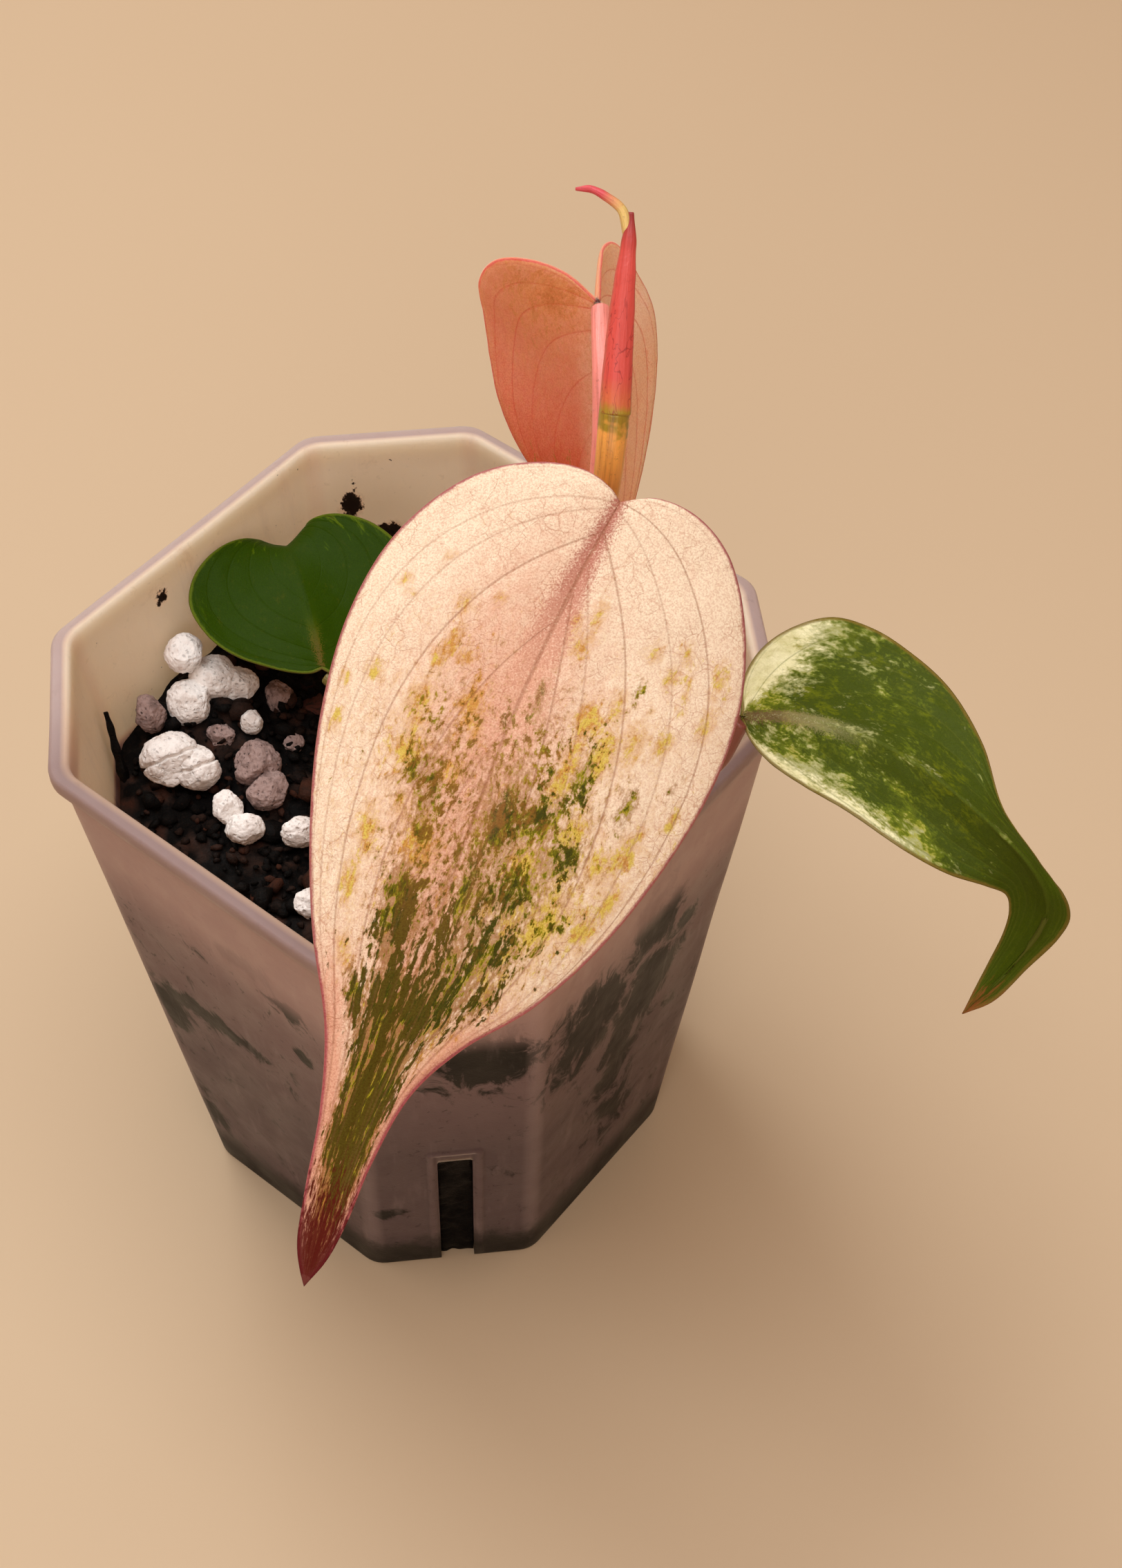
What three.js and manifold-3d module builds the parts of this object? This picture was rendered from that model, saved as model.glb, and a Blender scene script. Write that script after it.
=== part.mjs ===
// A potted micans philodendron: a young vine with pink, cream and green leaves in a square nursery pot.
// Millimetres, +Z up. The origin is the centre of the pot's flat foot. A cut corner of the pot faces -Y.
import * as THREE from "three";
import { mergeVertices } from "three/addons/utils/BufferGeometryUtils.js";
import Module from "manifold-3d";

const wasm = await Module();
wasm.setup();

// The pot is a square with cut corners, turned 45 degrees, and wider at the rim than at the foot.
const POT_HEIGHT = 80;
const FOOT_HALF = 27.6; // from the axis to a long side, at the foot
const WALL_TOP_HALF = 34.3; // the same for the wall at the rim
const LIP_HALF = 35; // the same for the lip that stands proud round the rim
const LIP_HEIGHT = 2.6;
const CORNER_LEG = 14.2; // what a cut corner takes off each side
const WALL = 1.2;
const FLOOR = 1.4;

// A drain slot in each cut corner reaches from the foot up the wall, with a raised frame round it.
const SLOT_WIDTH = 4.2;
const SLOT_TOP = 31;
const SLOT_SHIFT = 0.6; // from the middle of the cut corner, to the right as seen from outside
const SLOT_INNER = 25; // from the axis to the slot's inner end in the floor
const FRAME_WIDTH = 0.9;
const FRAME_GAP = 0.3;
const FRAME_TOP = 33.6;
const FRAME_PROUD = 0.4;

// Potting mix
const GAP = 0.3; // clearance between neighbouring pieces
const SOIL_LEVEL = 60;
const ROUGHNESS = 0.06; // share by which a pebble's radius swells, for each of its five waves
const MOUND = { x: -24, y: 20, rise: 5.5, reach: 11 };

// Vine and leaves
const BLADE_THICKNESS = 0.6;
const STEM_SIDES = 10;
const STALK_SIDES = 8;

const COLOURS = {
  pot: 0xc9b8ab,
  soil: 0x1c1512,
  perlite: 0xe9e4dc,
  pumice: 0x8d7b74,
  bark: 0x4a2318,
  stem: 0xb9803a,
  sheath: 0xcf5a4c,
  newLeaf: 0xd9a24c,
  pinkStalk: 0xe8958b,
  brownStalk: 0x7c4034,
  greenStalk: 0x6d6228,
  frontLeaf: 0xeccfb4,
  backLeaf: 0xbb6247,
  rightLeaf: 0x8a9a45,
  smallLeaf: 0x2c4a10,
};

const vec = (x, y, z) => new THREE.Vector3(x, y, z);
const vectors = (points) => points.map((p) => vec(...p));

// Same draws each run, from 0 to 1.
function seeded(seed) {
  let state = seed;
  return () => {
    state = (state * 16807) % 2147483647;
    return state / 2147483647;
  };
}

// Solids and meshes

function toSolid(geometry) {
  const bare = geometry.clone();
  bare.deleteAttribute("normal");
  bare.deleteAttribute("uv");
  const merged = mergeVertices(bare, 1e-4);
  return new wasm.Manifold(
    new wasm.Mesh({
      numProp: 3,
      vertProperties: new Float32Array(merged.attributes.position.array),
      triVerts: new Uint32Array(merged.index.array),
    }),
  );
}

function toGeometry(solid) {
  const { vertProperties, triVerts } = solid.getMesh();
  const geometry = new THREE.BufferGeometry();
  geometry.setAttribute("position", new THREE.BufferAttribute(vertProperties, 3));
  geometry.setIndex(new THREE.BufferAttribute(triVerts, 1));
  geometry.computeVertexNormals();
  return geometry;
}

const part = new THREE.Group();

function addPiece(name, solid, color, roughness = 0.7) {
  const material = new THREE.MeshStandardMaterial({ color, roughness, metalness: 0 });
  const mesh = new THREE.Mesh(toGeometry(solid), material);
  mesh.name = name;
  part.add(mesh);
}

// Joins rings of equal length into a closed body. Seen from the last ring they run anticlockwise.
function loft(rings) {
  const sides = rings[0].length;
  const positions = rings.flat().flatMap((p) => [p.x, p.y, p.z]);
  const faces = [];
  for (let r = 0; r < rings.length - 1; r++) {
    for (let i = 0; i < sides; i++) {
      const a = r * sides + i;
      const b = r * sides + ((i + 1) % sides);
      faces.push(a, b, b + sides, a, b + sides, a + sides);
    }
  }
  for (const [row, turn] of [[0, -1], [rings.length - 1, 1]]) {
    const middle = rings[row].reduce((sum, p) => sum.add(p), vec(0, 0, 0)).divideScalar(sides);
    const centre = positions.length / 3;
    positions.push(middle.x, middle.y, middle.z);
    for (let i = 0; i < sides; i++) {
      const a = row * sides + i;
      const b = row * sides + ((i + 1) % sides);
      faces.push(...(turn > 0 ? [a, b, centre] : [b, a, centre]));
    }
  }
  const geometry = new THREE.BufferGeometry();
  geometry.setAttribute("position", new THREE.Float32BufferAttribute(positions, 3));
  geometry.setIndex(faces);
  return toSolid(geometry);
}

// Round tube along a curve. radii are spread evenly over its length; squash narrows it across one way,
// and grow makes it thicker and longer all round.
function tube(points, radii, { sides = STALK_SIDES, steps = 12, squash = 1, grow = 0 } = {}) {
  const curve = new THREE.CatmullRomCurve3(vectors(points));
  const frames = curve.computeFrenetFrames(steps);
  const rings = [];
  for (let k = 0; k <= steps; k++) {
    const along = (k / steps) * (radii.length - 1);
    const low = Math.min(Math.floor(along), radii.length - 2);
    const radius = THREE.MathUtils.lerp(radii[low], radii[low + 1], along - low) + grow;
    const centre = curve.getPointAt(k / steps);
    if (k === 0 || k === steps) centre.addScaledVector(frames.tangents[k], k ? grow : -grow);
    const ring = [];
    for (let i = 0; i < sides; i++) {
      const turn = (i / sides) * 2 * Math.PI;
      ring.push(
        centre
          .clone()
          .addScaledVector(frames.normals[k], Math.cos(turn) * radius)
          .addScaledVector(frames.binormals[k], Math.sin(turn) * radius * squash),
      );
    }
    rings.push(ring);
  }
  return loft(rings);
}

// Pot

const wallHalf = (z) => THREE.MathUtils.lerp(FOOT_HALF, WALL_TOP_HALF, z / POT_HEIGHT);

// The pot's outline moved in by inset, at one height, with steps points on each side.
function outline(half, z, inset = 0, steps = 1) {
  const leg = CORNER_LEG - (2 - Math.SQRT2) * inset;
  const reach = Math.SQRT2 * (half - inset);
  const corner = leg / Math.SQRT2;
  const quarter = [vec(corner, corner - reach, z), vec(reach - corner, -corner, z)];
  const corners = [];
  for (let turn = 0; turn < 4; turn++) {
    for (const p of quarter) {
      corners.push(p.clone().applyAxisAngle(vec(0, 0, 1), (turn * Math.PI) / 2));
    }
  }
  return corners.flatMap((p, i) => {
    const next = corners[(i + 1) % corners.length];
    return Array.from({ length: steps }, (_, k) => p.clone().lerp(next, k / steps));
  });
}

// A box that leans with a cut corner's wall. It is given across, out from the wall, and upwards.
function cornerBox(width, low, high, inner, outer, across) {
  const wallAt = (z) => Math.SQRT2 * wallHalf(z) - CORNER_LEG / Math.SQRT2;
  const ring = (z) => [
    vec(across - width / 2, -wallAt(z) - outer, z),
    vec(across + width / 2, -wallAt(z) - outer, z),
    vec(across + width / 2, -wallAt(z) + inner, z),
    vec(across - width / 2, -wallAt(z) + inner, z),
  ];
  return loft([ring(low), ring(high)]);
}

function slotFrame() {
  const side = SLOT_WIDTH / 2 + FRAME_GAP + FRAME_WIDTH / 2;
  const depth = WALL / 2;
  const post = (across) => cornerBox(FRAME_WIDTH, 0, FRAME_TOP, depth, FRAME_PROUD, SLOT_SHIFT + across);
  const low = FRAME_TOP - FRAME_WIDTH;
  const lintel = cornerBox(2 * side + FRAME_WIDTH, low, FRAME_TOP, depth, FRAME_PROUD, SLOT_SHIFT);
  return post(-side).add(post(side)).add(lintel);
}

function makePot() {
  const lipLow = POT_HEIGHT - LIP_HEIGHT;
  const outer = loft([outline(FOOT_HALF, 0), outline(WALL_TOP_HALF, POT_HEIGHT)]);
  const lip = loft([
    outline(wallHalf(lipLow), lipLow),
    outline(LIP_HALF, lipLow + 0.6),
    outline(LIP_HALF, POT_HEIGHT),
  ]);
  const above = POT_HEIGHT + 1;
  const inside = loft([outline(wallHalf(FLOOR), FLOOR, WALL), outline(wallHalf(above), above, WALL)]);
  const reach = FOOT_HALF * Math.SQRT2 - CORNER_LEG / Math.SQRT2 - SLOT_INNER;
  let pot = outer.add(lip);
  for (let turn = 0; turn < 4; turn++) pot = pot.add(slotFrame().rotate([0, 0, 90 * turn]));
  pot = pot.subtract(inside);
  for (let turn = 0; turn < 4; turn++) {
    const slot = cornerBox(SLOT_WIDTH, -1, SLOT_TOP, reach, 2, SLOT_SHIFT);
    pot = pot.subtract(slot.rotate([0, 0, 90 * turn]));
  }
  return pot;
}

// Potting mix, with a mound towards the back left and low lumps all over

function soilHeight(x, y) {
  const far = (x - MOUND.x) ** 2 + (y - MOUND.y) ** 2;
  const mound = MOUND.rise * Math.exp(-far / (2 * MOUND.reach ** 2));
  const lumps = 0.7 * Math.sin(0.4 * x + 1.2) * Math.cos(0.36 * y - 0.4);
  return SOIL_LEVEL + mound + lumps + 0.4 * Math.sin(0.5 * x - 0.4 * y);
}

function makeSoil() {
  const low = FLOOR + GAP;
  const steps = 6;
  const rings = [outline(wallHalf(low), low, WALL + GAP, steps)];
  for (const scale of [1, 0.9, 0.77, 0.62, 0.46, 0.3, 0.15]) {
    const edge = outline(wallHalf(SOIL_LEVEL - 1.5), SOIL_LEVEL, WALL + GAP, steps);
    rings.push(edge.map((p) => vec(p.x * scale, p.y * scale, soilHeight(p.x * scale, p.y * scale))));
  }
  return loft(rings);
}

// A rough pebble: a ball whose radius swells and dips with its direction.
function pebble({ at, radii, seed, detail = 2 }, grow = 0) {
  const draw = seeded(seed);
  const waves = Array.from({ length: 5 }, () => ({
    way: vec(draw() - 0.5, draw() - 0.5, draw() - 0.5).normalize().multiplyScalar(2 + 2.5 * draw()),
    phase: 2 * Math.PI * draw(),
  }));
  const ball = mergeVertices(bareIcosahedron(detail), 1e-4);
  const position = ball.attributes.position;
  for (let i = 0; i < position.count; i++) {
    const way = new THREE.Vector3().fromBufferAttribute(position, i).normalize();
    const swell = waves.reduce((sum, w) => sum + ROUGHNESS * Math.sin(w.way.dot(way) + w.phase), 1);
    const size = vec(...radii).multiplyScalar(swell).addScalar(grow);
    const point = way.multiply(size).add(vec(...at));
    position.setXYZ(i, point.x, point.y, point.z);
  }
  return toSolid(ball);
}

// The hollow that a pebble lies in, cut with a coarser ball that is larger all round.
const socket = (lobe) => pebble({ ...lobe, detail: 1 }, GAP + 0.1 * Math.max(...lobe.radii));

function bareIcosahedron(detail) {
  const ball = new THREE.IcosahedronGeometry(1, detail);
  ball.deleteAttribute("normal");
  ball.deleteAttribute("uv");
  return ball;
}

// The pebbles that show beside the leaves, each with one lobe or several grown together. A name starts with
// the pebble's material.
const PEBBLES = {
  perlite_cluster: [
    { at: [-25.8, 12, 65], radii: [2.7, 2.8, 2.8], seed: 11 },
    { at: [-22.8, 14.6, 65.9], radii: [2.9, 2.7, 2.6], seed: 12 },
    { at: [-20.1, 14.2, 64.8], radii: [2.4, 2.1, 2.3], seed: 13 },
    { at: [-25.8, 15.6, 69.3], radii: [2.3, 2.3, 2.3], seed: 14 },
  ],
  perlite_split: [
    { at: [-28.1, 4.4, 64], radii: [3.6, 3.4, 3.1], seed: 15 },
    { at: [-25.3, 3.2, 63.4], radii: [2.7, 2.7, 2.6], seed: 16 },
  ],
  pumice_block: [
    { at: [-18.5, 3.6, 62.7], radii: [2.8, 2.8, 2.6], seed: 17 },
    { at: [-17.4, 0.2, 62], radii: [2.5, 2.5, 2.4], seed: 18 },
  ],
  perlite_pair: [
    { at: [-22.1, -2, 62.2], radii: [1.8, 2.1, 1.8], seed: 19 },
    { at: [-20.2, -5, 61.9], radii: [2.5, 1.9, 1.8], seed: 20 },
  ],
  pumice_wall: [{ at: [-30.5, 10.4, 65], radii: [2, 2, 2.6], seed: 21 }],
  pumice_low: [{ at: [-22.6, 8.3, 62.8], radii: [1.8, 1.6, 1.6], seed: 22, detail: 1 }],
  perlite_bead: [{ at: [-18.8, 9.3, 63.6], radii: [1.4, 1.5, 1.6], seed: 23, detail: 1 }],
  pumice_back: [{ at: [-15.5, 13.6, 62.9], radii: [1.7, 2.2, 1.9], seed: 24 }],
  pumice_chip: [{ at: [-14.2, 7.3, 61.5], radii: [1.3, 1.3, 1.2], seed: 25, detail: 1 }],
  perlite_front: [{ at: [-13.9, -6, 61.7], radii: [2.4, 1.8, 1.9], seed: 26 }],
  perlite_edge: [{ at: [-13.2, -15.9, 61.4], radii: [2, 1.8, 1.7], seed: 27 }],
};
const BARK = { at: [-10.7, 12.6, 61.9], radii: [2.8, 1.7, 1.1], seed: 31, detail: 1 };
const TWIG = [[-33.4, 3.2, 56.5], [-33.8, 4.1, 61.5], [-34.4, 6.2, 65.5], [-35, 8, 68.8]];
const TWIG_RADII = [0.6, 0.6, 0.45, 0.3];

// The rest of the surface: pebbles on a sunflower spiral, wherever there is room.
function scatter(taken) {
  const draw = seeded(77);
  const found = {};
  const golden = Math.PI * (3 - Math.sqrt(5));
  const turns = 34;
  let count = 0;
  for (let k = 3; k < turns && count < 12; k++) {
    const spread = 31 * Math.sqrt(k / turns);
    const radius = 1.7 + 1.5 * draw();
    const x = spread * Math.cos(k * golden);
    const y = spread * Math.sin(k * golden);
    const clear = taken.every(([tx, ty, tr]) => Math.hypot(x - tx, y - ty) > tr + radius + 1);
    const room = Math.abs(x) + Math.abs(y) + 1.5 * radius < 42;
    if (!clear || !room) continue;
    taken.push([x, y, radius]);
    count += 1;
    const kind = count % 3 ? "perlite" : "pumice";
    const at = [x, y, soilHeight(x, y) + 0.25 * radius];
    const radii = [radius, radius * (0.75 + 0.25 * draw()), radius * 0.8];
    found[`${kind}_${String(count).padStart(2, "0")}`] = [{ at, radii, seed: 40 + k, detail: 1 }];
  }
  return found;
}

const join = (solids) => solids.reduce((whole, solid) => whole.add(solid));
const largest = (solid) => solid.decompose().reduce((a, b) => (a.volume() > b.volume() ? a : b));

// Vine

// The stem swells at each leaf. The sheath on its end wraps the newest leaf, whose rolled tip leans out.
const STEM = [
  [14, 2, 44],
  [14, 2, 60],
  [14.6, -1.5, 80],
  [15.8, -7, 97],
  [17.2, -13.5, 112],
  [17.9, -16.8, 124],
  [18.7, -14.4, 130.1],
];
const STEM_RADII = [1.5, 1.5, 1.9, 1.5, 1.9, 1.45, 1.8, 1.4, 1.75, 1.35, 1.25, 1.3, 1.4];
const SHEATH = [
  [18.7, -14.4, 130.1],
  [19.4, -10.8, 134.6],
  [20.2, -7.4, 138.9],
  [20.9, -4.7, 142.1],
  [21.1, -3.7, 143.3],
];
const SHEATH_RADII = [1.38, 1.32, 1.22, 1.1, 0.92, 0.68, 0.28];
const NEW_LEAF = [
  [20.8, -4.9, 141.6],
  [20.4, -3.5, 143.4],
  [19, -2.7, 144.3],
  [17.6, -2.1, 144.8],
  [16.4, -1.8, 144.7],
];
const NEW_LEAF_RADII = [0.5, 0.5, 0.46, 0.42, 0.34, 0.16];

const stem = (grow = 0) => tube(STEM, STEM_RADII, { sides: STEM_SIDES, steps: 28, grow });
const sheath = (grow = 0) => tube(SHEATH, SHEATH_RADII, { sides: STEM_SIDES, squash: 0.85, grow });

// Leaves. Each blade is lofted between its two edges and its midrib, all three from the stalk to the tip.
// Left and right are as seen from the front. arch bulges each half forward, as a share of its width.
const LEAVES = {
  front: {
    color: COLOURS.frontLeaf,
    stalkColor: COLOURS.brownStalk,
    rows: 26,
    columns: 5,
    arch: 0.05,
    left: [
      [18, -23.7, 127.6], [17.2, -22.6, 128.4], [15.2, -21.1, 129.3], [11.3, -19.8, 129.4],
      [5.4, -19.7, 128.2], [-1.2, -22.3, 124.9], [-5.9, -27.1, 120.8], [-9.2, -33.9, 115.8],
      [-11, -41.5, 110.5], [-11.7, -49.7, 104.6], [-11.3, -56.8, 99.2], [-12.3, -62.1, 94.4],
      [-14.3, -67.4, 89.2], [-15.5, -71.5, 85.1], [-15.1, -73.4, 83.4],
    ],
    midrib: [
      [18, -23.7, 127.6], [13, -29.8, 123.1], [7.2, -37.9, 117], [2.7, -45.2, 111.1],
      [-2.6, -53.9, 103.4], [-9.8, -64.2, 93.1], [-15.1, -73.4, 83.4],
    ],
    right: [
      [18, -23.7, 127.6], [19, -23.7, 127.7], [21.4, -23.8, 127.8], [24.5, -25.1, 126.8],
      [27.1, -27.7, 124.4], [28.1, -32, 120.8], [27.4, -37.4, 116.3], [24.7, -42.7, 112.2],
      [20.1, -48.1, 108.2], [13.1, -54, 103.6], [6.6, -57.7, 100.5], [0.2, -59.9, 98.3],
      [-4.5, -62.4, 95.6], [-8.4, -66.4, 91.3], [-11.3, -70.4, 87], [-15.1, -73.4, 83.4],
    ],
    stalk: [
      [15.8, -7, 97], [15.5, -13, 104], [16.2, -20.5, 115], [17.4, -23.8, 123],
      [17.8, -24.4, 126.6],
    ],
    stalkRadii: [1.4, 1.15, 1.1, 1.1, 1],
  },
  back: {
    color: COLOURS.backLeaf,
    stalkColor: COLOURS.pinkStalk,
    rows: 18,
    columns: 4,
    arch: -0.04,
    left: [
      [20, 5.5, 125.4], [17, 8, 127.4], [13.5, 10.5, 127.4], [10.6, 13.2, 125.3],
      [9.2, 14.9, 121.6], [9.6, 15, 117.2], [10, 13.3, 113.2], [10.6, 10.6, 109.7],
      [12, 7.8, 106.5], [14, 5.5, 103.4], [15.9, 3.1, 100.1], [17.8, 0.8, 96.9],
      [19.6, -1.8, 93.8],
    ],
    midrib: [
      [20, 5.5, 125.4], [19.9, 1.8, 115.1], [19.8, -0.6, 104.6], [19.6, -1.8, 93.8],
    ],
    right: [
      [20, 5.5, 125.4], [20.5, 9.5, 126.8], [21.4, 13.6, 126], [23.1, 16.7, 123.6],
      [25, 17.6, 119.9], [26.8, 16.1, 116.3], [27.2, 13.8, 112.7], [26.8, 11.1, 109.3],
      [26, 8.1, 106.3], [24.9, 5.2, 103.3], [23.5, 2.6, 100.1], [21.7, 0.3, 96.9],
      [19.6, -1.8, 93.8],
    ],
    stalk: [
      [17.2, -13.5, 112], [18.4, -9.6, 118], [19.2, -3.2, 123.4], [20, 5.1, 125.4],
    ],
    stalkRadii: [1.4, 1.1, 1, 1, 0.95],
  },
  right: {
    color: COLOURS.rightLeaf,
    stalkColor: COLOURS.brownStalk,
    rows: 24,
    columns: 4,
    arch: 0.12,
    left: [
      [32.4, -19.2, 91.7], [33, -15.3, 92.3], [35.6, -11.2, 92.6], [39.3, -8.8, 92.9],
      [43.5, -8.2, 93.3], [47.2, -10.5, 93.7], [50.5, -14.7, 94], [53.2, -20.2, 94.4],
      [55.1, -27, 93.6], [55.9, -33.6, 91.7], [58.4, -38.7, 89.8], [60.8, -41.4, 87.3],
      [61.7, -42.3, 84.7], [61, -42.7, 81.8], [58.4, -43.1, 77.3], [55.3, -44, 73.1],
      [52.5, -44.1, 71.4],
    ],
    midrib: [
      [32.4, -19.2, 91.7], [36.6, -20.6, 92.9], [41, -23.2, 93.9], [44.9, -26.3, 94.4],
      [48.6, -30.1, 94.3], [51.7, -33.7, 93.7], [54.6, -37.1, 92.6], [57.3, -39.8, 90.5],
      [59.2, -41.3, 87.2], [59.4, -41.9, 82.9], [57, -42.5, 77], [52.5, -44.1, 71.4],
    ],
    right: [
      [32.4, -19.2, 91.7], [32.7, -21.1, 90.8], [34.2, -24.2, 90.5], [37, -27.6, 90.6],
      [41.1, -31.5, 90.5], [46.1, -35.7, 89], [50, -37.9, 87.7], [53.9, -38.8, 86.3],
      [56.1, -39, 84.8], [56.7, -39.5, 82.6], [56.4, -40.2, 79.8], [54.8, -41.7, 75.5],
      [52.5, -44.1, 71.4],
    ],
    stalk: [
      [14.6, -1.5, 80], [20.5, -10, 80.8], [29, -19.8, 84.6], [32.3, -19.5, 91.4],
    ],
    stalkRadii: [1.3, 1.05, 1, 1, 0.95],
  },
  small: {
    color: COLOURS.smallLeaf,
    stalkColor: COLOURS.greenStalk,
    rows: 18,
    columns: 4,
    arch: 0.08,
    left: [
      [-10, 6.9, 75], [-11.2, 6.5, 74.6], [-13.3, 7.1, 74.2], [-16.3, 8.4, 74.1],
      [-19.8, 10.4, 74.2], [-22.6, 13.2, 74.6], [-24.5, 17.3, 75.5], [-23.9, 20.8, 76.4],
      [-21.8, 23.7, 77], [-19, 26.2, 76.5], [-16.2, 28, 74.3], [-14.5, 28.8, 70.9],
      [-13.6, 28.8, 67.4],
    ],
    midrib: [
      [-10, 6.9, 75], [-10.8, 12.9, 75.9], [-11.7, 19.4, 76], [-12.7, 25, 75.5],
      [-13.3, 27.4, 73.4], [-13.5, 28.6, 70.1], [-13.6, 28.8, 67.4],
    ],
    right: [
      [-10, 6.9, 75], [-8.7, 5.7, 74.9], [-6.4, 5.1, 74.6], [-3.2, 6.1, 74.5],
      [-0.2, 9, 74.6], [1.5, 13.6, 75.2], [1.5, 18.7, 76.1], [-0.3, 23.4, 77],
      [-3.5, 26.5, 77.8], [-7.5, 28.3, 77.6], [-10.2, 29, 76], [-11.8, 29.2, 71.7],
      [-13.6, 28.8, 67.4],
    ],
    stalk: [
      [14, 1.8, 64], [8, 1, 67], [0, 1.2, 70.3], [-6, 3, 72.4],
      [-9.7, 6.3, 73.9],
    ],
    stalkRadii: [1.3, 1.05, 1, 0.95, 0.8],
  },
};

// The blade's middle surface: rows of points from edge to edge, between a first and a last single point.
function bladeRows({ left, midrib, right, rows, columns, arch }) {
  const curves = [left, midrib, right].map((points) => new THREE.CatmullRomCurve3(vectors(points)));
  const [leftCurve, ribCurve, rightCurve] = curves;
  const grid = [];
  for (let i = 1; i < rows; i++) {
    const t = i / rows;
    const rib = ribCurve.getPointAt(t ** 1.4);
    const edges = [rightCurve.getPointAt(t), leftCurve.getPointAt(t)];
    const along = ribCurve.getTangentAt(t ** 1.4);
    const across = edges[1].clone().sub(edges[0]);
    const up = across.clone().cross(along).normalize();
    const row = [];
    for (let j = -columns; j <= columns; j++) {
      const q = Math.abs(j) / columns;
      const edge = edges[j < 0 ? 0 : 1];
      const rise = 4 * q * (1 - q) * arch * edge.distanceTo(rib);
      row.push(rib.clone().lerp(edge, q).addScaledVector(up, rise));
    }
    grid.push(row);
  }
  return { first: vec(...midrib[0]), grid, last: vec(...midrib.at(-1)) };
}

// Triangles of the middle surface, with the first point at 0 and the last at the end.
function bladeFaces(rows, width) {
  const at = (i, j) => 1 + i * width + j;
  const last = 1 + rows * width;
  const faces = [];
  for (let j = 0; j < width - 1; j++) {
    faces.push([0, at(0, j + 1), at(0, j)]);
    for (let i = 0; i < rows - 1; i++) {
      faces.push([at(i, j), at(i, j + 1), at(i + 1, j + 1)], [at(i, j), at(i + 1, j + 1), at(i + 1, j)]);
    }
    faces.push([at(rows - 1, j), at(rows - 1, j + 1), last]);
  }
  return faces;
}

// Moves the rim of the middle surface out within the surface.
function widen({ first, grid, last }, grow) {
  const push = (p, from) => p.addScaledVector(p.clone().sub(from).normalize(), grow);
  const centre = (row) => row[(row.length - 1) / 2].clone();
  push(first, centre(grid[0]));
  push(last, centre(grid.at(-1)));
  for (const row of grid) {
    push(row[0], row[1].clone());
    push(row.at(-1), row.at(-2).clone());
  }
  return { first, grid, last };
}

// A sheet of even thickness round the middle surface, split alike on both faces.
function blade(leaf, grow = 0) {
  const { first, grid, last } = widen(bladeRows(leaf), grow);
  const points = [first, ...grid.flat(), last];
  const width = grid[0].length;
  const count = points.length;
  const faces = bladeFaces(grid.length, width);
  const middle = new THREE.BufferGeometry();
  middle.setAttribute("position", new THREE.Float32BufferAttribute(points.flatMap((p) => p.toArray()), 3));
  middle.setIndex(faces.flat());
  middle.computeVertexNormals();
  const offset = (distance) =>
    points.flatMap((p, i) => {
      const normal = new THREE.Vector3().fromBufferAttribute(middle.attributes.normal, i);
      return p.clone().addScaledVector(normal, distance).toArray();
    });
  const half = BLADE_THICKNESS / 2 + grow;
  const rim = [0];
  for (let i = 0; i < grid.length; i++) rim.push(1 + i * width);
  rim.push(count - 1);
  for (let i = grid.length - 1; i >= 0; i--) rim.push(i * width + width);
  const walls = rim.flatMap((a, i) => {
    const b = rim[(i + 1) % rim.length];
    return [a, b, b + count, a, b + count, a + count];
  });
  const backs = faces.flatMap(([a, b, c]) => [a + count, c + count, b + count]);
  const shell = [...offset(half), ...offset(-half)];
  const geometry = new THREE.BufferGeometry();
  geometry.setAttribute("position", new THREE.Float32BufferAttribute(shell, 3));
  geometry.setIndex([...faces.flat(), ...backs, ...walls]);
  return toSolid(geometry);
}

const stalk = (leaf, grow = 0) => tube(leaf.stalk, leaf.stalkRadii, { grow });

// Assembly

const footprint = ({ at, radii }) => [at[0], at[1], Math.max(...radii)];
const taken = [...Object.values(PEBBLES).flat(), BARK].map(footprint);
taken.push([STEM[0][0], STEM[0][1], 3]);
const pebbles = { ...PEBBLES, ...scatter(taken) };

addPiece("pot", makePot(), COLOURS.pot, 0.35);

const twig = (grow = 0) => tube(TWIG, TWIG_RADII, { steps: 8, grow });
let soil = makeSoil().subtract(stem(GAP)).subtract(twig(GAP)).subtract(socket(BARK));
for (const [name, lobes] of Object.entries(pebbles)) {
  soil = soil.subtract(join(lobes.map(socket)));
  addPiece(name, join(lobes.map((lobe) => pebble(lobe))), COLOURS[name.split("_")[0]], 0.9);
}
addPiece("soil", soil, COLOURS.soil, 0.95);
addPiece("bark_chip", pebble(BARK), COLOURS.bark, 0.9);
addPiece("twig", twig(), COLOURS.soil, 0.9);

addPiece("stem", stem(), COLOURS.stem, 0.5);
addPiece("sheath", sheath().subtract(stem(GAP)), COLOURS.sheath, 0.45);
const newLeaf = tube(NEW_LEAF, NEW_LEAF_RADII);
addPiece("new_leaf", newLeaf.subtract(sheath(GAP)), COLOURS.newLeaf, 0.45);

for (const [name, leaf] of Object.entries(LEAVES)) {
  addPiece(`leaf_${name}`, blade(leaf), leaf.color, 0.55);
  const cut = stalk(leaf).subtract(stem(GAP)).subtract(blade(leaf, 2 * GAP));
  addPiece(`stalk_${name}`, largest(cut), leaf.stalkColor, 0.5);
}

export default part;
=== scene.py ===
"""A potted micans philodendron with pink, cream and green leaves in a square nursery pot.

Each solid is drawn again as a finer mesh. Shapes are worked out in millimetres and put into the meshes in
metres, in the part's own frame: +Z up, the origin at the centre of the pot's foot, a cut corner of the pot
towards -Y.
"""

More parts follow.
